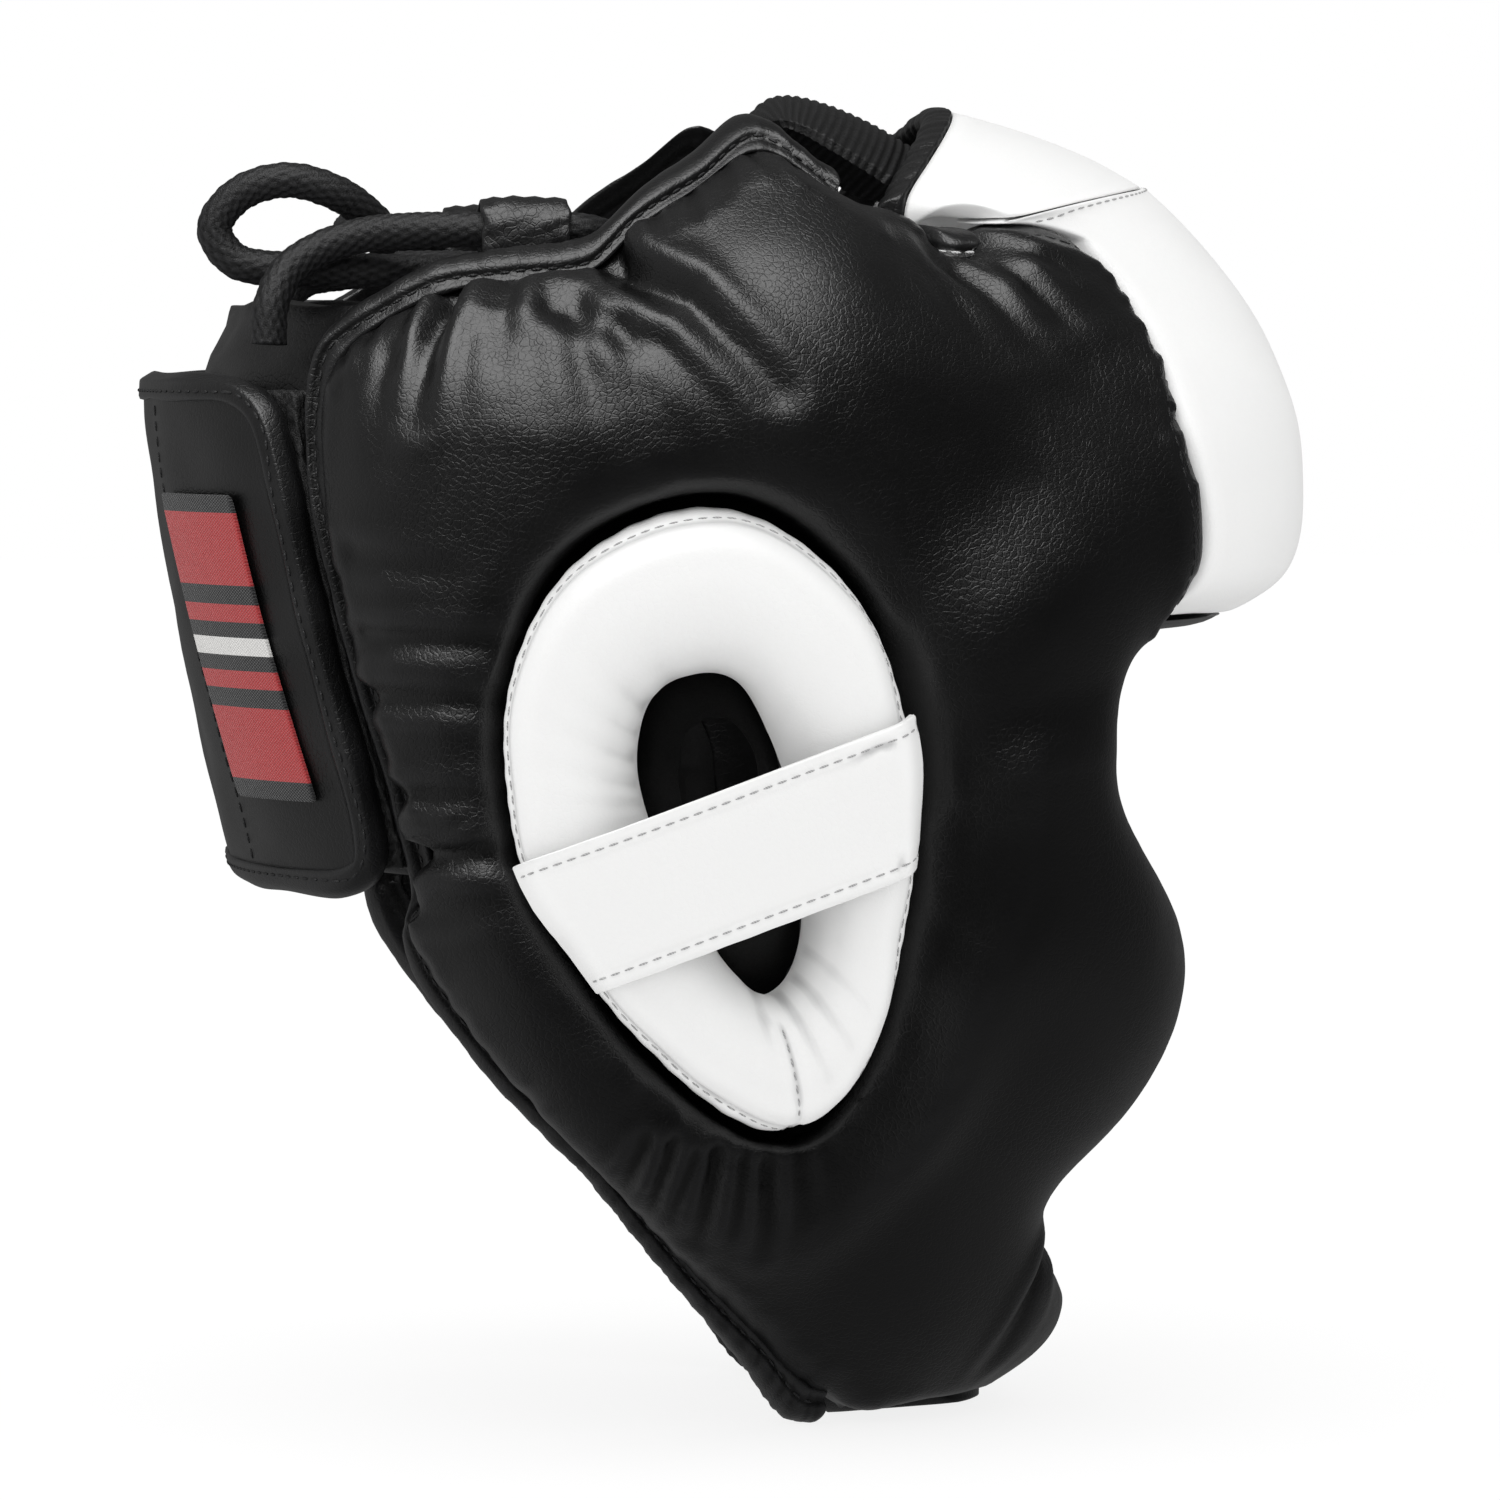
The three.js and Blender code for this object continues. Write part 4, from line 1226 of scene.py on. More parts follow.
    def crumple(self, shell: Piece) -> None:
        """Works folds, valleys, gathers and soft unevenness into the outer leather.

        Args:
            shell: The pad.
        """
        points, normals = Carving.points(shell), Carving.normals(shell)
        along, rise, lift, at, _, _, off_rim = FORM.spots(points, self.side)
        out = np.stack([points[:, 0] - (FORM.shift - 14) * MM, points[:, 1]], axis=1)
        out /= np.linalg.norm(out, axis=1)[:, None]
        facing = normals[:, 0] * out[:, 0] + normals[:, 1] * out[:, 1]
        outer = ease(5, 9, lift) * ease(-0.35, 0.1, facing)
        creases = [*self.folds, *self.valleys]
        for seed, group in enumerate(self.gathers):
            creases += group.creases(seed + 11)
        height = sum(crease.height(along, rise) for crease in creases)
        soft = 0.2 * np.sin(along / 9.0 + 1.3 * np.sin(rise / 13.0)) * np.sin(rise / 11.0 + along / 31.0)
        soft -= self.moat * (1 - ease(2, 12, off_rim))
        jaw = np.maximum(ease(285, 305, at), 1 - ease(8, 22, at))
        soft += self.jaw_refill * jaw * ease(8, 20, off_rim)
        soft += self.low_roll * between(at, 205, 245, 310, 345) * bump(off_rim, 10, 21)
        Carving.push(shell, (np.clip(height, -4, 2) + soft) * outer)

    def draw(self, piece: Piece, reach: Array) -> None:
        """Moves a piece's points over the head, away from the ear.

        Args:
            piece: The piece.
            reach: Distance for each point, in millimetres.
        """
        points = Carving.points(piece)
        spot = FORM.spots(points, self.side)
        new, old = (FORM.from_ear(spot.at, far, spot.lift) for far in (spot.distance + reach, spot.distance))
        Carving.place(piece, points + self.side.flip(new - old))

    def meet(self, shell: Piece) -> None:
        """Draws the pad's bound edge out to its binding.

        Args:
            shell: The pad.
        """
        spot = FORM.spots(Carving.points(shell), self.side)
        bound = between(spot.at, 66, 70, 288, 290.5)
        self.draw(shell, self.tuck * bound * (1 - ease(8.5, 13, spot.inset)))

    def square(self, shell: Piece) -> None:
        """Straightens the pad's edge along the brow seam.

        Args:
            shell: The pad.
        """
        spot = FORM.spots(Carving.points(shell), self.side)
        by_seam = (np.abs(spot.inset) < 4) & (spot.at > 25) & (spot.at < 55)
        Carving.relax(shell, 8, by_seam & (spot.lift > 8))
        spot = FORM.spots(Carving.points(shell), self.side)
        share = between(spot.at, FORM.seam_low, 27, 53, FORM.seam_high)
        self.draw(shell, spot.inset * share * (1 - ease(1.5, 4, np.abs(spot.inset))))

    def roll(self, node: str, ripple: float) -> Piece:
        """A rolled binding, puckered by its stitches.

        Args:
            node: The solid that it stands for.
            ripple: How much it puckers, as a share of the usual.

        Returns:
            The binding.
        """

        def pucker(piece: Piece) -> None:
            """Works the groove of the stitches and the puckers into the binding."""
            spot = FORM.spots(Carving.points(piece), self.side)
            self.draw(piece, -self.tuck * ease(5.5, 8, spot.inset))
            run = np.radians(spot.at) * FORM.reach(spot.at)
            waves = ((0.08, 1.9, 0.0), (0.2, 0.63, 1.0), (0.25, 0.23, 2.0))
            uneven = sum(high * np.sin(run * rate + phase) for high, rate, phase in waves)
            groove = -0.75 * bump(spot.inset, 0.9, self.bound)
            low = between(spot.at, 195, 210, 284, 290)
            Carving.push(piece, uneven * ripple * 0.5 + groove + 0.7 * low)

        return Dressing.dress(node, node.replace("binding", "roll"), ROLLED, Cut(3, 60.0, 0.6), pucker)

    def rays(self, at: Array, distance: Array) -> tuple[Array, Array]:
        """Points far outside and inside the pad, for laying stitches on it.

        Args:
            at: Angles round the ear.
            distance: Distances from the ear.

        Returns:
            The points outside and the points inside.
        """
        outside, inside = (self.side.flip(FORM.from_ear(at, distance, lift)) for lift in (60.0, 0.5))
        return outside, inside

    def sew(self, shell: Piece, rolls: list[Piece]) -> None:
        """Sews the bindings and the brow seam.

        Args:
            shell: The pad.
            rolls: Its edge binding and its wing binding.
        """
        word = self.side.word
        dark = Seams(f"side_stitches_{word}", BLACK_THREAD)
        edge = np.linspace(70, 289.5, 700)
        dark.add(BOUND, Surface(rolls[0]), *self.rays(edge, FORM.reach(edge) - self.bound))
        seam = np.linspace(25, 55, 260)
        dark.add(Stitching(3.4, 2.6, 0.6, 0.25), Surface(shell), *self.rays(seam, FORM.reach(seam) - 3.2))
        dark.finish_piece()
        pale = Seams(f"wing_stitches_{word}", BRIGHT_THREAD)
        wing = np.linspace(57.3, 59.9, 60)
        pale.add(Stitching(3.0, 2.3, 0.7, 0.55), Surface(rolls[1]), *self.rays(wing, FORM.reach(wing) - 6.2))
        pale.finish_piece()


class Pleat(NamedTuple):
    """A pleat from a ring's hole outwards: its angle at the hole and farther out, and its size."""

    start: float
    stop: float
    depth: float
    width: float
    length: float


@dataclass
class EarGuard:
    """The white padded ring round an ear and the band across it."""

    side: Side
    hem: float = 2.8
    turned: float = 2.5
    collar: tuple[tuple[float, float], ...] = (
        (0, 9.5), (30, 11), (60, 15.5), (88, 19), (115, 18), (145, 13), (180, 10), (215, 11.5), (245, 17),
        (265, 20), (283, 24), (300, 21), (325, 13),
    )
    band_from: tuple[float, float] = (-31.0, -21.5)
    band_to: tuple[float, float] = (29.8, 3.5)
    band_width: float = 29.0
    seam_at: float = 281.0
    pleats: tuple[Pleat, ...] = (
        *(Pleat(at, at, depth, width, 7.5) for at, depth, width in (
            (128, 0.5, 4.4), (139, 0.45, 3.8), (150, 0.5, 4.2), (163, 0.35, 4.0), (174, 0.25, 3.6),
            (112, 0.25, 4.5), (60, 0.15, 5.0), (36, 0.15, 5.0), (205, 0.2, 5.0), (228, 0.25, 5.0),
        )),
        Pleat(276, 279, 0.25, 2.1, 15), Pleat(285, 289, 0.4, 2.1, 15),
        Pleat(292, 296, 0.3, 2.1, 15), Pleat(300, 304, 0.2, 2.1, 15),
    )
    rim_inset: float = 1.7
    end_stitch: float = 1.0
    rim_drop: float = 6.0
    eased: float = 10.0

    def build(self) -> None:
        """Builds the ring, the band and their stitches."""
        word = self.side.word
        ring = Carving.copy(f"ear_ring_{word}", f"ear_pad_{word}")
        Carving.soften(ring, 2, 70.0, 0.35)
        self.fill(ring)
        Carving.divide(ring, 1)
        self.puff(ring)
        Carving.mark_hollows(ring, 0.08)
        Dressing.put(ring, WHITE, f"ear_ring_{word}", fill=0.75)
        cut = Cut(3, 50.0, 0.75)
        band = Dressing.dress(f"ear_strap_{word}", f"ear_band_{word}", WHITE, cut, self.press, 0.08)
        self.line()
        self.sew(ring, band)

    def line(self) -> None:
        """Lays a dark lining round the inside of the hole and behind the band: partly the real lining,
        partly painted shade in the ear hole.
        """
        flip = self.side.flip
        reach = smooth_column(*zip(*self.collar, (360, self.collar[0][1])))
        shape = bmesh.new()
        rim = bmesh.ops.create_circle(shape, segments=96, radius=1.0)["verts"]
        angles = [math.degrees(math.atan2(vert.co.y, vert.co.x)) % 360 for vert in rim]
        for vert, at in zip(rim, angles):
            vert.co = flip(FORM.from_ear(at, FORM.hole(at) + 3.0, -0.1))
        inner = bmesh.ops.extrude_edge_only(shape, edges=shape.edges[:])["geom"]
        for vert in (part for part in inner if isinstance(part, bmesh.types.BMVert)):
            at = float(FORM.spots(np.array([vert.co]), self.side).at[0])
            vert.co = flip(FORM.from_ear(at, float(reach(at)), 0.6))
        # The strip behind the band is a dark sheet that paints shade into the ear hole; the rim round the
        # hole stands for the real lining.
        strip = bmesh.ops.create_grid(shape, x_segments=12, y_segments=6, size=1.0)["verts"]
        middle = 0.51 * self.length
        for vert in strip:
            run, across = middle + vert.co.x * 16.5, vert.co.y * (self.band_width / 2 - 1)
            vert.co = flip(FORM.on_place(*self.on_ring(run, across), 28.2))
        bmesh.ops.recalc_face_normals(shape, faces=shape.faces)
        bmesh.ops.solidify(shape, geom=shape.faces[:], thickness=0.5 * MM)
        piece = Carving.made(shape, f"ear_lining_{self.side.word}")
        Carving.mark_hollows(piece)
        Dressing.put(piece, LINING_AND_HOLE_SHADE)

    def fill(self, ring: Piece) -> None:
        """Fills the ring out between its hem and its hole.

        Args:
            ring: The ring.
        """
        spot = FORM.spots(Carving.points(ring), self.side)
        off_hole = spot.distance - FORM.hole(spot.at)
        loose = ease(9, 14, spot.lift) * ease(1, 5, -spot.off_rim) * ease(0, 4, off_hole)
        Carving.push(ring, -0.6 * loose)
        Carving.swell(ring, 1 - loose, 1.4)

    def puff(self, ring: Piece) -> None:
        """Works the stitched hem and the gathers at the hole into the ring.

        Args:
            ring: The ring.
        """
        spot = FORM.spots(Carving.points(ring), self.side)
        at, inset = spot.at, -spot.off_rim
        height = 0.5 * bump(inset, 3.0, self.hem + 5) - 0.9 * bump(inset, 0.9, self.hem)
        from_hole = spot.distance - FORM.hole(at)
        outward = np.clip(from_hole, 0, None)
        for pleat in self.pleats:
            line = pleat.start + (pleat.stop - pleat.start) * np.clip(from_hole / 26, 0, 1)
            away = (at - line) / pleat.width
            sides = 0.5 * bump(np.abs(away), 1.0, 1.7)
            height += pleat.depth * np.exp(-outward / pleat.length) * (sides - bump(away, 1.0))
        height -= 0.6 * bump(at, 0.9, self.seam_at) * ease(2, 6, from_hole)
        height += 0.12 * np.sin(at * 0.9) * bump(inset, 2.0)
        Carving.push(ring, height * ease(8, 13, spot.lift))

    @property
    def length(self) -> float:
        """The band's length in millimetres."""
        return float(np.hypot(*np.subtract(self.band_to, self.band_from)))

    @property
    def way(self) -> Array:
        """The band's direction on the head."""
        return np.subtract(self.band_to, self.band_from) / self.length

    def on_band(self, points: Array) -> tuple[Array, Array, Array]:
        """Where points lie on the band.

        Args:
            points: Points in metres.

        Returns:
            Millimetres along the band, across it from its middle, and off the head space.
        """
        along, rise, lift = FORM.places(points, self.side)
        dx, dy, (ahead, up) = along - self.band_from[0], rise - self.band_from[1], self.way
        return dx * ahead + dy * up, dy * ahead - dx * up, lift

    def press(self, band: Piece) -> None:
        """Works the turned edges into the band and joins it to the ring.

        Args:
            band: The band.
        """
        points, normals = Carving.points(band), Carving.normals(band)
        run, across, _ = self.on_band(points)
        outward = ease(0.2, 0.7, normals[:, 1] * self.side.value)
        from_edge = self.band_width / 2 - np.abs(across)
        height = 0.35 * bump(from_edge, 0.9, 0.9) - 0.7 * bump(from_edge, 0.75, self.turned)
        height += 0.1 * np.sin(run * 0.7) * bump(from_edge, 3)
        Carving.push(band, height * outward)
        self.join(band)

    def on_ring(self, run: Array, across: Array) -> tuple[Array, Array]:
        """Places on the head, along the head and above the ear, from places on the band."""
        ahead, up = self.way
        along = self.band_from[0] + ahead * run - up * across
        return along, self.band_from[1] + up * run + ahead * across

    def ends(self, across: Array) -> tuple[Array, Array]:
        """Where lines along the band cross the ring's rim, in millimetres along the band.

        Args:
            across: Places across the band.

        Returns:
            The start and the end of each line.
        """
        run = np.linspace(-25, 90, 461)
        lines = np.linspace(-self.band_width / 2 - 1, self.band_width / 2 + 1, 33)
        at, distance = FORM.polar(*self.on_ring(run[None, :], lines[:, None]))
        inside = distance < FORM.rim(at)
        first, last = np.argmax(inside, axis=1), len(run) - 1 - np.argmax(inside[:, ::-1], axis=1)
        return np.interp(across, lines, run[first]), np.interp(across, lines, run[last])

    def join(self, band: Piece) -> None:
        """Draws the band's ends out to the ring's rim and down to it.

        Args:
            band: The band.
        """
        run, across, lift = self.on_band(Carving.points(band))
        start, stop = self.ends(across)
        far = self.length
        moved = run + ease(self.eased, 0, run) * (start + self.rim_inset)
        moved += ease(far - self.eased, far, run) * (stop - self.rim_inset - far)
        along, rise = self.on_ring(moved, across)
        at, distance = FORM.polar(along, rise)
        drop = self.rim_drop * (1 - ease(-1, 7.5, FORM.rim(at) - distance))
        Carving.place(band, self.side.flip(FORM.on_place(along, rise, lift - drop)))

    def sew(self, ring: Piece, band: Piece) -> None:
        """Sews the ring's hem, its short seam and the band's edges.

        Args:
            ring: The ring.
            band: The band.
        """
        seams = Seams(f"ear_stitches_{self.side.word}", WHITE_THREAD)
        flip, skin, cover = self.side.flip, Surface(ring), Surface(band)
        round_ring, down = np.linspace(0, 360, 800), np.linspace(44, 63, 60)
        rows = ((round_ring, FORM.rim(round_ring) - self.hem), (np.full_like(down, self.seam_at), down))
        for at, distance in rows:
            seams.add(FINE, skin, *(flip(FORM.from_ear(at, distance, lift)) for lift in (60.0, 6.0)))
        inset = self.rim_inset + self.end_stitch
        for edge in (-1, 1):
            across = edge * (self.band_width / 2 - self.turned)
            start, stop = self.ends(np.array([across]))
            steps = np.linspace(start[0] + inset, stop[0] - inset, 220)
            spots = self.on_ring(steps, np.full_like(steps, across))
            seams.add(FINE, cover, *(flip(FORM.on_place(*spots, lift)) for lift in (60.0, 15.0)))
        seams.finish_piece()


@dataclass
class Brow:
    """The white brow pad with its trim, and the crown flap above it with its binding."""

    seam_reach: float = 8.0
    seam_overlap: float = 0.8
    thinned: float = 0.6
    sewn_at: float = 55.4

    def build(self) -> None:
        """Builds the pad, the trim, the flap, its binding and the stitches."""
        full, rolled = Cut(3, 60.0, 0.85), Cut(3, 60.0, 0.5)
        pad = Dressing.dress("forehead_pad", "brow_pad", WHITE, full, self.settle, 0.1, 0.85)
        Dressing.dress("brow_trim", "brow_edge", ROLLED, Cut(2, 60.0, 0.5), self.thin)
        flap = Dressing.dress("crown_flap", "crown_pad", WHITE, full, self.close, 0.1, 0.4)
        Dressing.dress("crown_flap_binding", "crown_roll", ROLLED, rolled, self.pucker)
        self.sew(pad, flap)

    def thin(self, trim: Piece) -> None:
        """Makes the trim thinner."""
        Carving.push(trim, np.full(len(trim.data.vertices), -self.thinned))

    def settle(self, pad: Piece) -> None:
        """Works soft unevenness into the brow pad.

        Args:
            pad: The pad.
        """
        _, y, z = (Carving.points(pad) / MM).T
        Carving.push(pad, 0.25 * np.sin(y / 9 + 1.1 * np.sin(z / 12)) * np.sin(z / 8 + 0.5))

    def close(self, flap: Piece) -> None:
        """Draws the flap's lower edge on to the brow pad's upper edge.

        Args:
            flap: The flap.
        """
        points = Carving.points(flap)
        across = np.clip(np.arctan2(points[:, 1], points[:, 0]) / math.radians(60), -1, 1)
        seam = FORM.brow_point(np.full_like(across, FORM.seam_high), across)
        near = bump(np.linalg.norm(points - seam, axis=1), self.seam_reach * MM)
        points[:, 2] -= self.seam_overlap * MM * near
        Carving.place(flap, points)

    def pucker(self, roll: Piece) -> None:
        """Works small puckers into the flap's binding.

        Args:
            roll: The binding.
        """
        y = Carving.points(roll)[:, 1] / MM
        Carving.push(roll, 0.18 * np.sin(y * 1.7) + 0.15 * np.sin(y * 0.6 + 1))

    def sew(self, pad: Piece, flap: Piece) -> None:
        """Sews the seam between pad and flap.

        Args:
            pad: The brow pad.
            flap: The crown flap.
        """
        across = np.linspace(-0.9, 0.9, 400)
        high = FORM.brow_point(np.full_like(across, self.sewn_at), across)
        seams = Seams("brow_stitches", WHITE_THREAD)
        out = np.array([0.02, 0, 0.03])
        seams.add(FINE, Surface(pad, flap), high + out, high - out)
        seams.finish_piece()


@dataclass
class RearClosure:
    """The panel behind the head, the tab with loop pile, the closing strap and its patch."""

    rear: Callable = smooth_column(
        (108, 116, 132, 154, 181, 200, 222), (-43, -43.5, -44.8, -47.8, -50.7, -52.3, -53.5)
    )
    low: float = 119.0
    high: float = 215.0
    corner: float = 9.0
    border: float = 2.2
    free_turn: float = 3.4
    seam_turn: float = 24.0
    lean: float = 2.0
    sink: float = 4.0
    curl: float = 5.0
    tuck: float = 1.0
    raised: float = 0.3
    panel_rows: tuple[float, float] = (230.0, 226.5)

    def bend(self, z: Array) -> Array:
        """How far round a free corner a height is, from 0 below it to 1 or -1 at the end."""
        above, below = np.maximum(0, z - self.high + self.corner), np.maximum(0, self.low + self.corner - z)
        return np.clip((above - below) / self.corner, -1, 1)

    def free(self, z: Array) -> Array:
        """The turn of the strap's free end at a height, round its corners."""
        inset = self.corner * (1 - np.sqrt(1 - self.bend(z) ** 2))
        return self.rear(z) - self.free_turn - inset / self.lean

    def build(self) -> None:
        """Builds the panel, the tab, the strap, its border, the patch and the stitches."""
        panel, strap, border = (
            Dressing.dress(node, name, finish, Cut(3, 50.0, 0.9), self.uneven)
            for node, name, finish in (
                ("back_panel", "rear_panel", BLACK), ("back_strap", "closing_strap", BLACK),
                ("back_strap_binding", "closing_roll", ROLLED),
            )
        )
        self.sag(panel)
        self.stretch(strap)
        Carving.push(border, np.full(len(border.data.vertices), self.raised))
        self.pile()
        self.patch()
        self.sew(panel, strap, border)

    def uneven(self, piece: Piece) -> None:
        """Works slight unevenness into a piece of the closure."""
        _, y, z = (Carving.points(piece) / MM).T
        Carving.push(piece, 0.1 + 0.3 * np.sin(y / 5 + 1.5 * np.sin(z / 9)) * np.sin(z / 7 + y / 23))

    def stretch(self, strap: Piece) -> None:
        """Draws the strap's long edges into its border.

        Args:
            strap: The strap.
        """
        points = Carving.points(strap)
        low, high = points[:, 2].min(), points[:, 2].max()
        points[:, 2] += self.tuck * MM * (2 * points[:, 2] - low - high) / (high - low)
        Carving.place(strap, points)

    def sag(self, panel: Piece) -> None:
        """Lets the panel's free upper edge sink and roll inwards.

        Args:
            panel: The panel behind the head.
        """
        points = Carving.points(panel)
        _, y, z = (points / MM).T
        high = ease(214, 236, z)
        points[:, 2] -= self.sink * MM * high * (0.55 + 0.25 * np.cos(y / 11) + 0.2 * np.cos(y / 5.3 + 1))
        points[:, 0] += self.curl * MM * high**2
        Carving.place(panel, points)

    def pile(self) -> None:
        """Builds the tab with its loop pile."""
        tab = Carving.copy("loop_patch", "pile_tab")
        Carving.soften(tab, 4, 50.0, 0.7)
        fuzz = np.random.default_rng(5).uniform(0, 1, len(tab.data.vertices))
        Carving.push(tab, 0.7 * fuzz)
        Carving.store(tab, "strand", fuzz)
        Dressing.put(tab, PILE, "loop_patch")

    def patch(self) -> None:
        """Builds the woven patch with its weave coordinates."""
        piece = Carving.copy("label_patch", "woven_patch")
        Carving.soften(piece, 3, 50.0, 0.8)
        points = Carving.points(piece)
        turn = np.degrees(np.arctan2(points[:, 0] / MM - FORM.shift + 19, -points[:, 1] / MM))
        across, up = ((way - way.min()) / (way.max() - way.min()) for way in (turn, points[:, 2]))
        layer = piece.data.uv_layers.new(name="weave")
        corners = np.zeros(len(piece.data.loops), np.int64)
        piece.data.loops.foreach_get("vertex_index", corners)
        layer.data.foreach_set("uv", np.stack([across, up], axis=1)[corners].ravel())
        Dressing.put(piece, STRIPES, "label_patch")

    def sew(self, panel: Piece, strap: Piece, border: Piece) -> None:
        """Sews the strap's border and its upright seam.

        Args:
            panel: The panel behind the head.
            strap: The closing strap.
            border: The strap's border.
        """
        seams = Seams("closing_stitches", BLACK_THREAD)
        skin, cover = Surface(strap, border), Surface(panel)

        def row(on: Surface, turn: Array, level: Array, deep: float = 0.0) -> None:
            """Sews a row along turns and heights."""
            seams.add(BOUND, on, FORM.wrap(turn, level, 40.0), FORM.wrap(turn, level, deep))

        way = np.linspace(1, 0, 300)
        for z, up in ((self.high, 1), (self.low, -1)):
            start = self.free(z)
            row(skin, start + (-179 - self.rear(z) - start) * way, np.full_like(way, z + up * self.border))
        z = np.linspace(self.low, self.high, 400)
        rise = self.bend(z)
        row(skin, self.free(z) + np.sqrt(1 - rise**2) * self.border / self.lean, z + rise * self.border)
        row(skin, self.rear(z) - self.free_turn - self.seam_turn, z)
        end = self.rear(222)
        across = np.linspace(end + 4, -184 - end, 300)
        for z in self.panel_rows:
            row(cover, across, np.full_like(across, z), -3.0)
        seams.finish_piece()


@dataclass
class CrownLacing:
    """The braided lace with its bow, the loops that it runs through and the crown elastic."""

    diameter: float = 7.6
    step: float = 0.5
    columns: int = 12
    cell: float = 2.0
    relief: float = 0.5
    rib: float = 2.0
    loop: float = 1.7
    rib_height: float = 0.5
    elastic_half: float = 34.0
    elastic_line: tuple[tuple[float, float], ...] = (
        (58, 256), (46, 262), (35, 268.2), (31, 271.4), (22, 276), (12, 279.4), (5, 280), (1, 276),
        (-2, 268), (-8, 258), (-30, 247), (-60, 238), (-90, 231), (-106, 226), (-109, 208),
    )
    route: tuple[tuple[float, float, float], ...] = (
        (-105.5, -50.5, 227), (-105, -50, 235), (-101.5, -47.5, 242), (-95, -45.5, 246.5), (-86, -46, 249.5),
        (-76, -49, 250.5), (-66, -51.4, 250.6), (-53, -53.5, 250.5), (-41, -54.8, 250.3), (-32, -47, 247.5),
        (-26, -30, 242.5), (-24, -10, 239), (-24, 10, 239), (-26, 30, 242.5), (-32, 47, 247.5),
        (-41, 54.8, 250.3), (-53, 53.5, 250.5), (-66, 51.4, 250.7), (-75, 45, 251), (-82, 31, 251),
        (-85, 12, 251.5), (-83, -8, 251), (-80, -22, 249), (-82, -32, 252), (-90, -37, 258),
        (-101, -38, 261), (-111, -36.5, 258), (-116, -36, 251), (-112, -36.5, 244.5),
        (-102, -37.5, 242.5), (-90, -39, 242.3),
        (-78, -39.5, 242), (-67, -35, 242), (-60, -24, 242.5), (-63, -11, 243), (-75, -5, 243),
        (-88, -8, 242), (-97, -14, 240), (-102, -18, 234), (-103.5, -19, 218),
    )

    def build(self) -> None:
        """Builds the lace, the loops and the elastic."""
        self.lace()
        for side in Side:
            node, name = f"lace_loop_{side.word}", f"loop_{side.word}"
            Dressing.dress(node, name, ROLLED, Cut(3, 60.0, 0.35), self.fold)
        self.elastic()

    def fold(self, loop: Piece) -> None:
        """Works small folds and a groove into a lace loop."""
        x, _, z = (Carving.points(loop) / MM).T
        folds = np.sin(x * 1.5 + z * 0.9) + 0.6 * np.sin(x * 0.7 - z * 1.6 + 1.0)
        Carving.push(loop, 0.22 * folds - 0.5 * bump(x, 1.0, FORM.shift - 46))

    def middle_line(self) -> Array:
        """The lace's middle line: a centripetal curve through its route, at even steps.

        Returns:
            Points in metres, one row each.
        """
        route = (np.array(self.route, float) + [FORM.shift, 0, 0]) * MM
        ends = np.vstack([2 * route[0] - route[1], route, 2 * route[-1] - route[-2]])
        fine = []
        for i in range(len(route) - 1):
            p0, p1, p2, p3 = ends[i:i + 4]
            d0, d1, d2 = (math.sqrt(np.linalg.norm(b - a)) for a, b in ((p0, p1), (p1, p2), (p2, p3)))
            m1 = ((p1 - p0) / d0 - (p2 - p0) / (d0 + d1) + (p2 - p1) / d1) * d1
            m2 = ((p2 - p1) / d1 - (p3 - p1) / (d1 + d2) + (p3 - p2) / d2) * d1
            t = np.linspace(0, 1, 60, endpoint=False)[:, None]
            square, cube = 3 * (p2 - p1) - 2 * m1 - m2, 2 * (p1 - p2) + m1 + m2
            fine.append(p1 + m1 * t + square * t**2 + cube * t**3)
        line = np.vstack([*fine, route[-1:]])
        run = np.append(0, np.cumsum(np.linalg.norm(np.diff(line, axis=0), axis=1)))
        even = np.linspace(0, run[-1], int(run[-1] / (self.step * MM)))
        return np.stack([np.interp(even, run, column) for column in line.T], axis=1)

    def lace(self) -> None:
        """Builds the lace as a braided tube along its middle line."""
        line = self.middle_line()
        curve = bpy.data.curves.new("lace_line", "CURVE")
        curve.dimensions = "3D"
        spline = curve.splines.new("POLY")
        spline.points.add(len(line) - 1)
        spline.points.foreach_set("co", np.hstack([line, np.ones((len(line), 1))]).ravel())
        curve.bevel_depth = (self.diameter / 2 - self.relief / 2) * MM
        curve.bevel_resolution = 18
        curve.use_fill_caps = True
        holder = bpy.data.objects.new("lace_line", curve)
        bpy.context.scene.collection.objects.link(holder)
        graph = bpy.context.evaluated_depsgraph_get()
        mesh = bpy.data.meshes.new_from_object(holder.evaluated_get(graph))
        bpy.data.objects.remove(holder)
        shape = bmesh.new()
        shape.from_mesh(mesh)
        bmesh.ops.remove_doubles(shape, verts=shape.verts, dist=1e-6)
        bpy.data.meshes.remove(mesh)
        piece = Carving.made(shape, "braided_lace")
        self.braid(piece, line)
        Dressing.put(piece, BRAID, "lace")

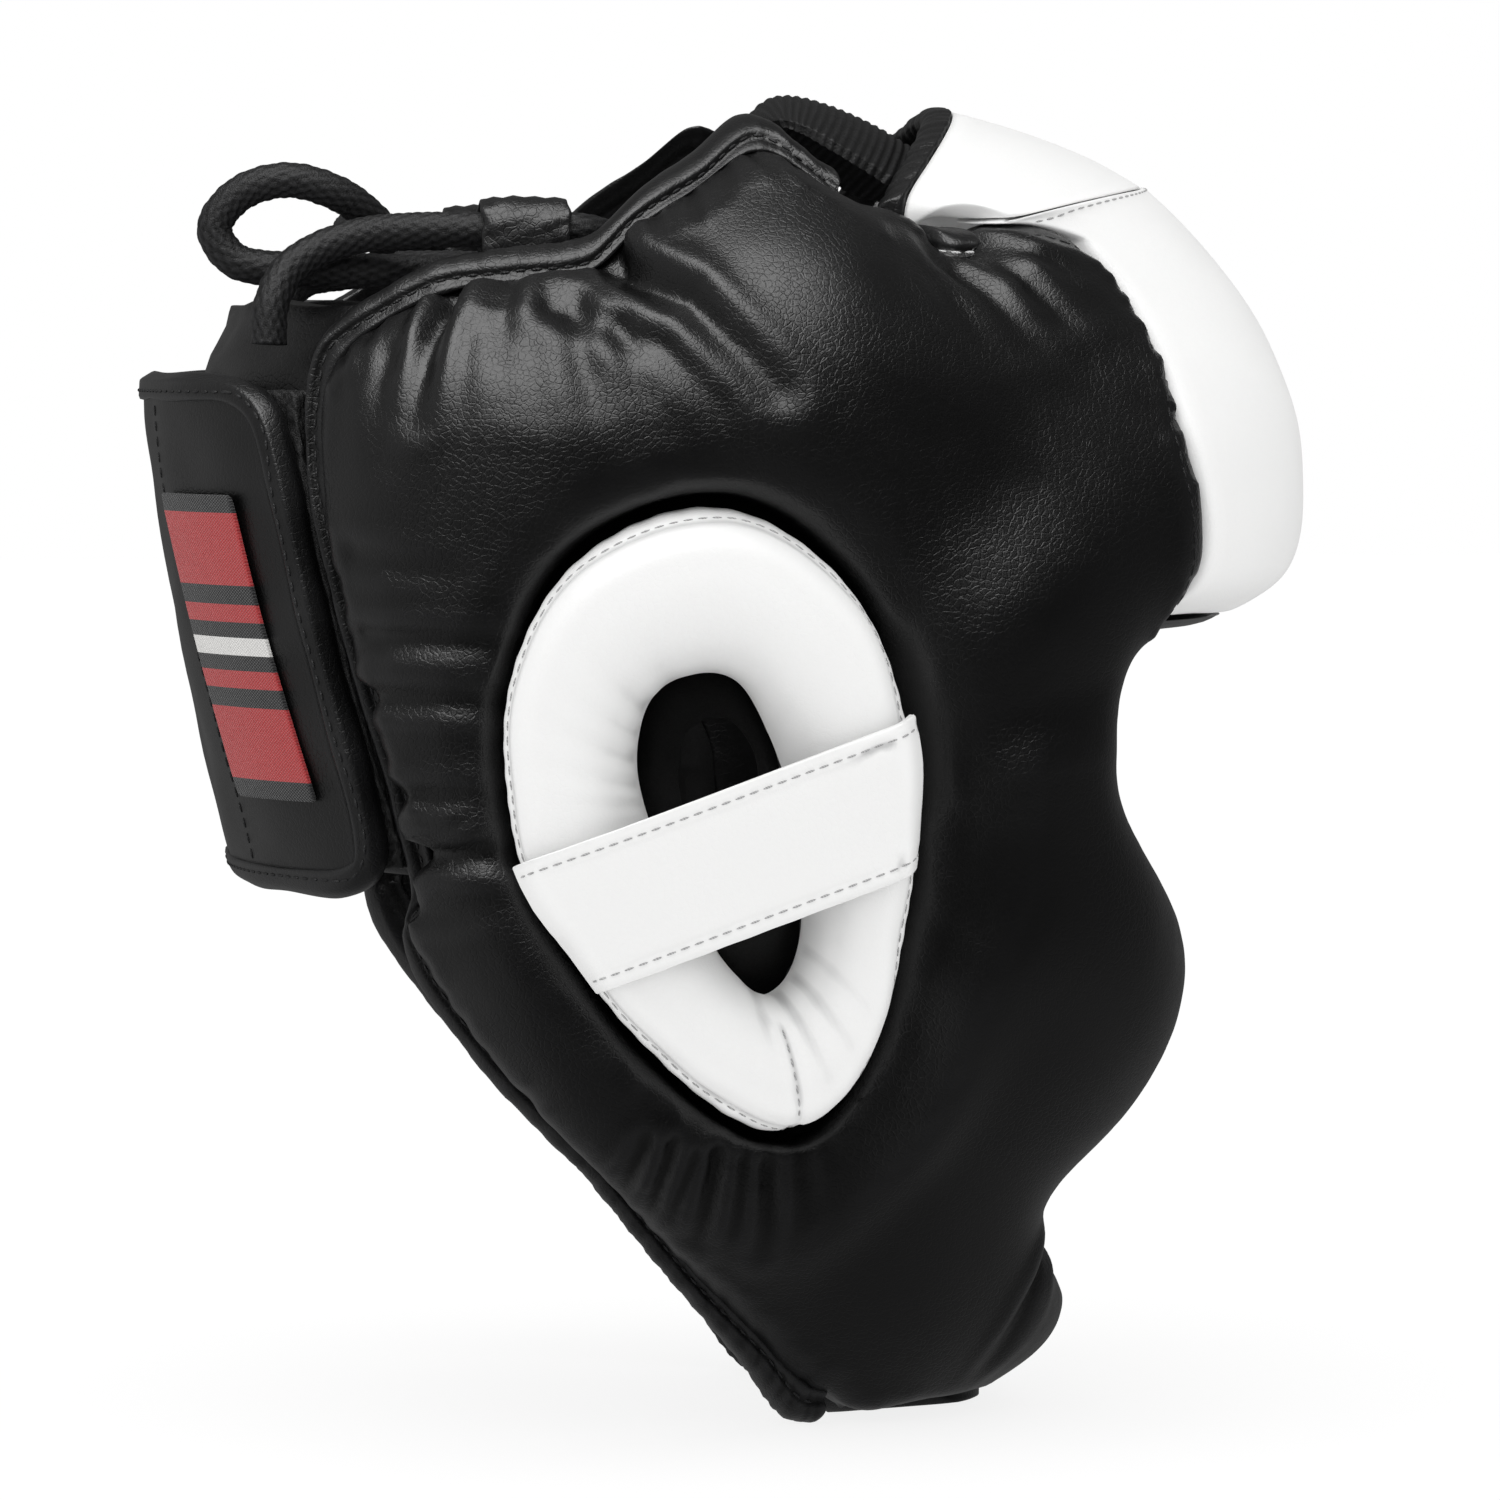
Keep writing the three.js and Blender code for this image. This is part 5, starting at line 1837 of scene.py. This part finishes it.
    def braid(self, piece: Piece, line: Array) -> None:
        """Raises the strands of the braid.

        Args:
            piece: The lace's tube.
            line: Its middle line.
        """
        tangent = np.gradient(line, axis=0)
        tangent /= np.linalg.norm(tangent, axis=1)[:, None]
        side = np.zeros_like(line)
        last = np.cross(tangent[0], [0.0, 0.0, 1.0]) + 1e-6
        for i, way in enumerate(tangent):
            last = last - way * (last @ way)
            last /= np.linalg.norm(last)
            side[i] = last
        up = np.cross(tangent, side)
        tree = KDTree(len(line))
        for i, place in enumerate(line):
            tree.insert(place, i)
        tree.balance()
        points = Carving.points(piece)
        nearest = np.array([tree.find(point)[1] for point in points])
        away = points - line[nearest]
        aside, above, ahead = (np.einsum("ij,ij->i", away, way[nearest]) for way in (side, up, tangent))
        round_lace = np.arctan2(above, aside) / (2 * math.pi) * self.columns
        run = (nearest * self.step + ahead / MM) / self.cell / 2
        a, b = round_lace + run, round_lace - run
        odd = (np.floor(a) + np.floor(b)) % 2
        over, under = np.where(odd == 0, a, b) % 1, np.where(odd == 0, b, a) % 1
        strand = np.sin(math.pi * over) ** 0.7 * (0.55 + 0.45 * np.sin(math.pi * under))
        flat = away - ahead[:, None] * tangent[nearest]
        flat /= np.maximum(np.linalg.norm(flat, axis=1), 1e-9)[:, None]
        Carving.place(piece, points + flat * ((strand - 0.5) * self.relief * MM)[:, None])
        Carving.store(piece, "strand", strand)

    def elastic(self) -> None:
        """Builds the knitted elastic over the crown, ribbed across its run."""
        piece = Carving.copy("crown_webbing", "crown_elastic")
        Carving.soften(piece, 4, 50.0, 0.6)
        x, y, z = (Carving.points(piece) / MM).T
        arch = (y / self.elastic_half) ** 2 * ease(-2, 12, x - FORM.shift)
        _, run, _ = beside(self.elastic_line, x - FORM.shift + 6.5 * arch, z + 8.8 * arch)
        row = run / self.rib
        rib = 0.5 + 0.5 * np.cos(row * 2 * math.pi)
        loop = np.abs(np.sin(math.pi * (y / self.loop + 0.5 * (np.round(row) % 2))))
        strand = rib * (0.45 + 0.55 * loop)
        Carving.push(piece, self.rib_height * (strand - 0.5))
        Carving.store(piece, "strand", strand)
        Dressing.put(piece, KNIT, "crown_webbing")


@dataclass
class ChinRest:
    """The strap under the chin."""

    half: float = 22.0
    lines: tuple[float, float] = (17.5, 38.5)

    def build(self) -> None:
        """Builds the strap and its stitches."""
        strap = Dressing.dress("chin_strap", "chin_band", BLACK, Cut(3, 50.0, 0.6))
        seams = Seams("chin_stitches", BLACK_THREAD)
        y = np.linspace(-self.half, self.half, 160)
        for x in self.lines:
            high = np.stack([np.full_like(y, x + FORM.shift), y, np.full_like(y, 30.0)], axis=1) * MM
            seams.add(BOUND, Surface(strap), high, high * [1, 1, 0])
        seams.finish_piece()


class Lamp(NamedTuple):
    """A soft square light that gives only shine, or only fill."""

    name: str
    place: tuple[float, float, float]
    size: float
    power: float
    shine: bool


class Glow(NamedTuple):
    """Soft light from one side in reflections, over a range of an axis."""

    axis: str
    low: float
    high: float
    share: float


@dataclass
class Studio:
    """Pale floor, soft light and the camera at the photo's angle."""

    azimuth: float = -6.5
    elevation: float = 3.2
    distance: float = 1.6
    aim: float = 0.1398
    lens: float = 178.6
    ambience: float = 1.0
    dark: float = 0.01
    glows: tuple[Glow, ...] = (
        Glow("Z", -0.12, -0.6, 0.14), Glow("Z", 0.45, 0.95, 0.14), Glow("X", -0.4, -1.0, 0.4),
        Glow("X", 0.4, 1.0, 0.08), Glow("Y", 0.2, 0.9, 0.16),
    )
    lamps: tuple[Lamp, ...] = (
        Lamp("top_light", (-0.25, -0.6, 1.3), 1.05, 19.0, True),
        Lamp("front_light", (-0.35, -1.25, 1.0), 0.55, 2.2, True),
        Lamp("fill_light", (-0.2, -0.35, 1.45), 1.2, 5.0, False),
    )
    lit: tuple[float, float, float] = (0.0, 0.0, 0.15)

    def build(self) -> None:
        """Sets up the camera, the floor and the lights."""
        self.camera()
        self.floor()
        self.sky()
        for lamp in self.lamps:
            self.light(lamp)

    def camera(self) -> None:
        """Puts the camera at the photo's angle."""
        az, el = math.radians(self.azimuth), math.radians(self.elevation)
        back = Vector((math.sin(az) * math.cos(el), -math.cos(az) * math.cos(el), math.sin(el)))
        data = bpy.data.cameras.new("camera")
        data.lens, data.sensor_width = self.lens, 36.0
        camera = bpy.data.objects.new("camera", data)
        camera.location = Vector((FORM.shift * MM, 0.0, self.aim)) + back * self.distance
        camera.rotation_mode = "QUATERNION"
        camera.rotation_quaternion = (-back).to_track_quat("-Z", "Y")
        bpy.context.scene.collection.objects.link(camera)
        bpy.context.scene.camera = camera

    def floor(self) -> None:
        """Lays a plain pale floor."""
        shape = bmesh.new()
        bmesh.ops.create_grid(shape, x_segments=1, y_segments=1, size=6.0)
        piece = Carving.made(shape, "floor")
        shader = Shader("pale floor")
        away = shader.add("VectorMath", {0: shader.place()}, {"operation": "LENGTH"}).outputs["Value"]
        fade = shader.span(away, 0.1, 0.3, 0.84, 1.0)
        pale, none = (0.92, 0.92, 0.92), (0.0, 0.0, 0.0)
        shader.feed(
            Base_Color=shader.ramp(fade, (0.0, pale), (1.0, none)), Emission_Strength=fade,
            Emission_Color=(1.0, 1.0, 1.0, 1.0), Roughness=0.9,
        )
        piece.data.materials.append(shader.material)
        piece.visible_glossy = False

    def sky(self) -> None:
        """Surrounds the scene with even soft light, white behind the object and dim in reflections."""
        world = bpy.data.worlds.new("studio")
        bpy.context.scene.world = world
        world.use_nodes = True
        world.cycles.sampling_method = "NONE"
        nodes = Nodes(world.node_tree)
        way = nodes.add("SeparateXYZ", {"Vector": nodes.add("TexCoord").outputs["Generated"]})
        shine = self.dark
        for glow in self.glows:
            near = nodes.span(way.outputs[glow.axis], glow.low, glow.high, 0.0, 1.0)
            shine = nodes.math("MULTIPLY_ADD", near, glow.share, shine)
        path = nodes.add("LightPath")
        change = nodes.math("SUBTRACT", shine, self.ambience)
        seen = nodes.math("MULTIPLY_ADD", path.outputs["Is Glossy Ray"], change, self.ambience)
        shown = nodes.math("MAXIMUM", seen, path.outputs["Is Camera Ray"])
        background = nodes.tree.nodes["Background"]
        background.inputs["Color"].default_value = (1.0, 1.0, 1.0, 1.0)
        nodes.tree.links.new(shown, background.inputs["Strength"])
        bpy.context.scene.view_settings.view_transform = "Standard"

    def light(self, lamp: Lamp) -> None:
        """Adds a soft square light.

        Args:
            lamp: Its row in the table.
        """
        data = bpy.data.lights.new(lamp.name, "AREA")
        data.shape, data.size, data.energy = "SQUARE", lamp.size, lamp.power
        light = bpy.data.objects.new(lamp.name, data)
        light.location = lamp.place
        light.rotation_mode = "QUATERNION"
        light.rotation_quaternion = (Vector(self.lit) - Vector(lamp.place)).to_track_quat("-Z", "Y")
        light.visible_diffuse, light.visible_glossy = not lamp.shine, lamp.shine
        bpy.context.scene.collection.objects.link(light)


def main() -> None:
    """Builds the headgear piece by piece."""
    logging.basicConfig(level=logging.INFO, format="%(message)s")
    Studio().build()
    CrownLacing().build()
    for side in Side:
        SidePad(side).build()
        EarGuard(side).build()
    Brow().build()
    RearClosure().build()
    ChinRest().build()


if __name__ == "__main__":
    main()
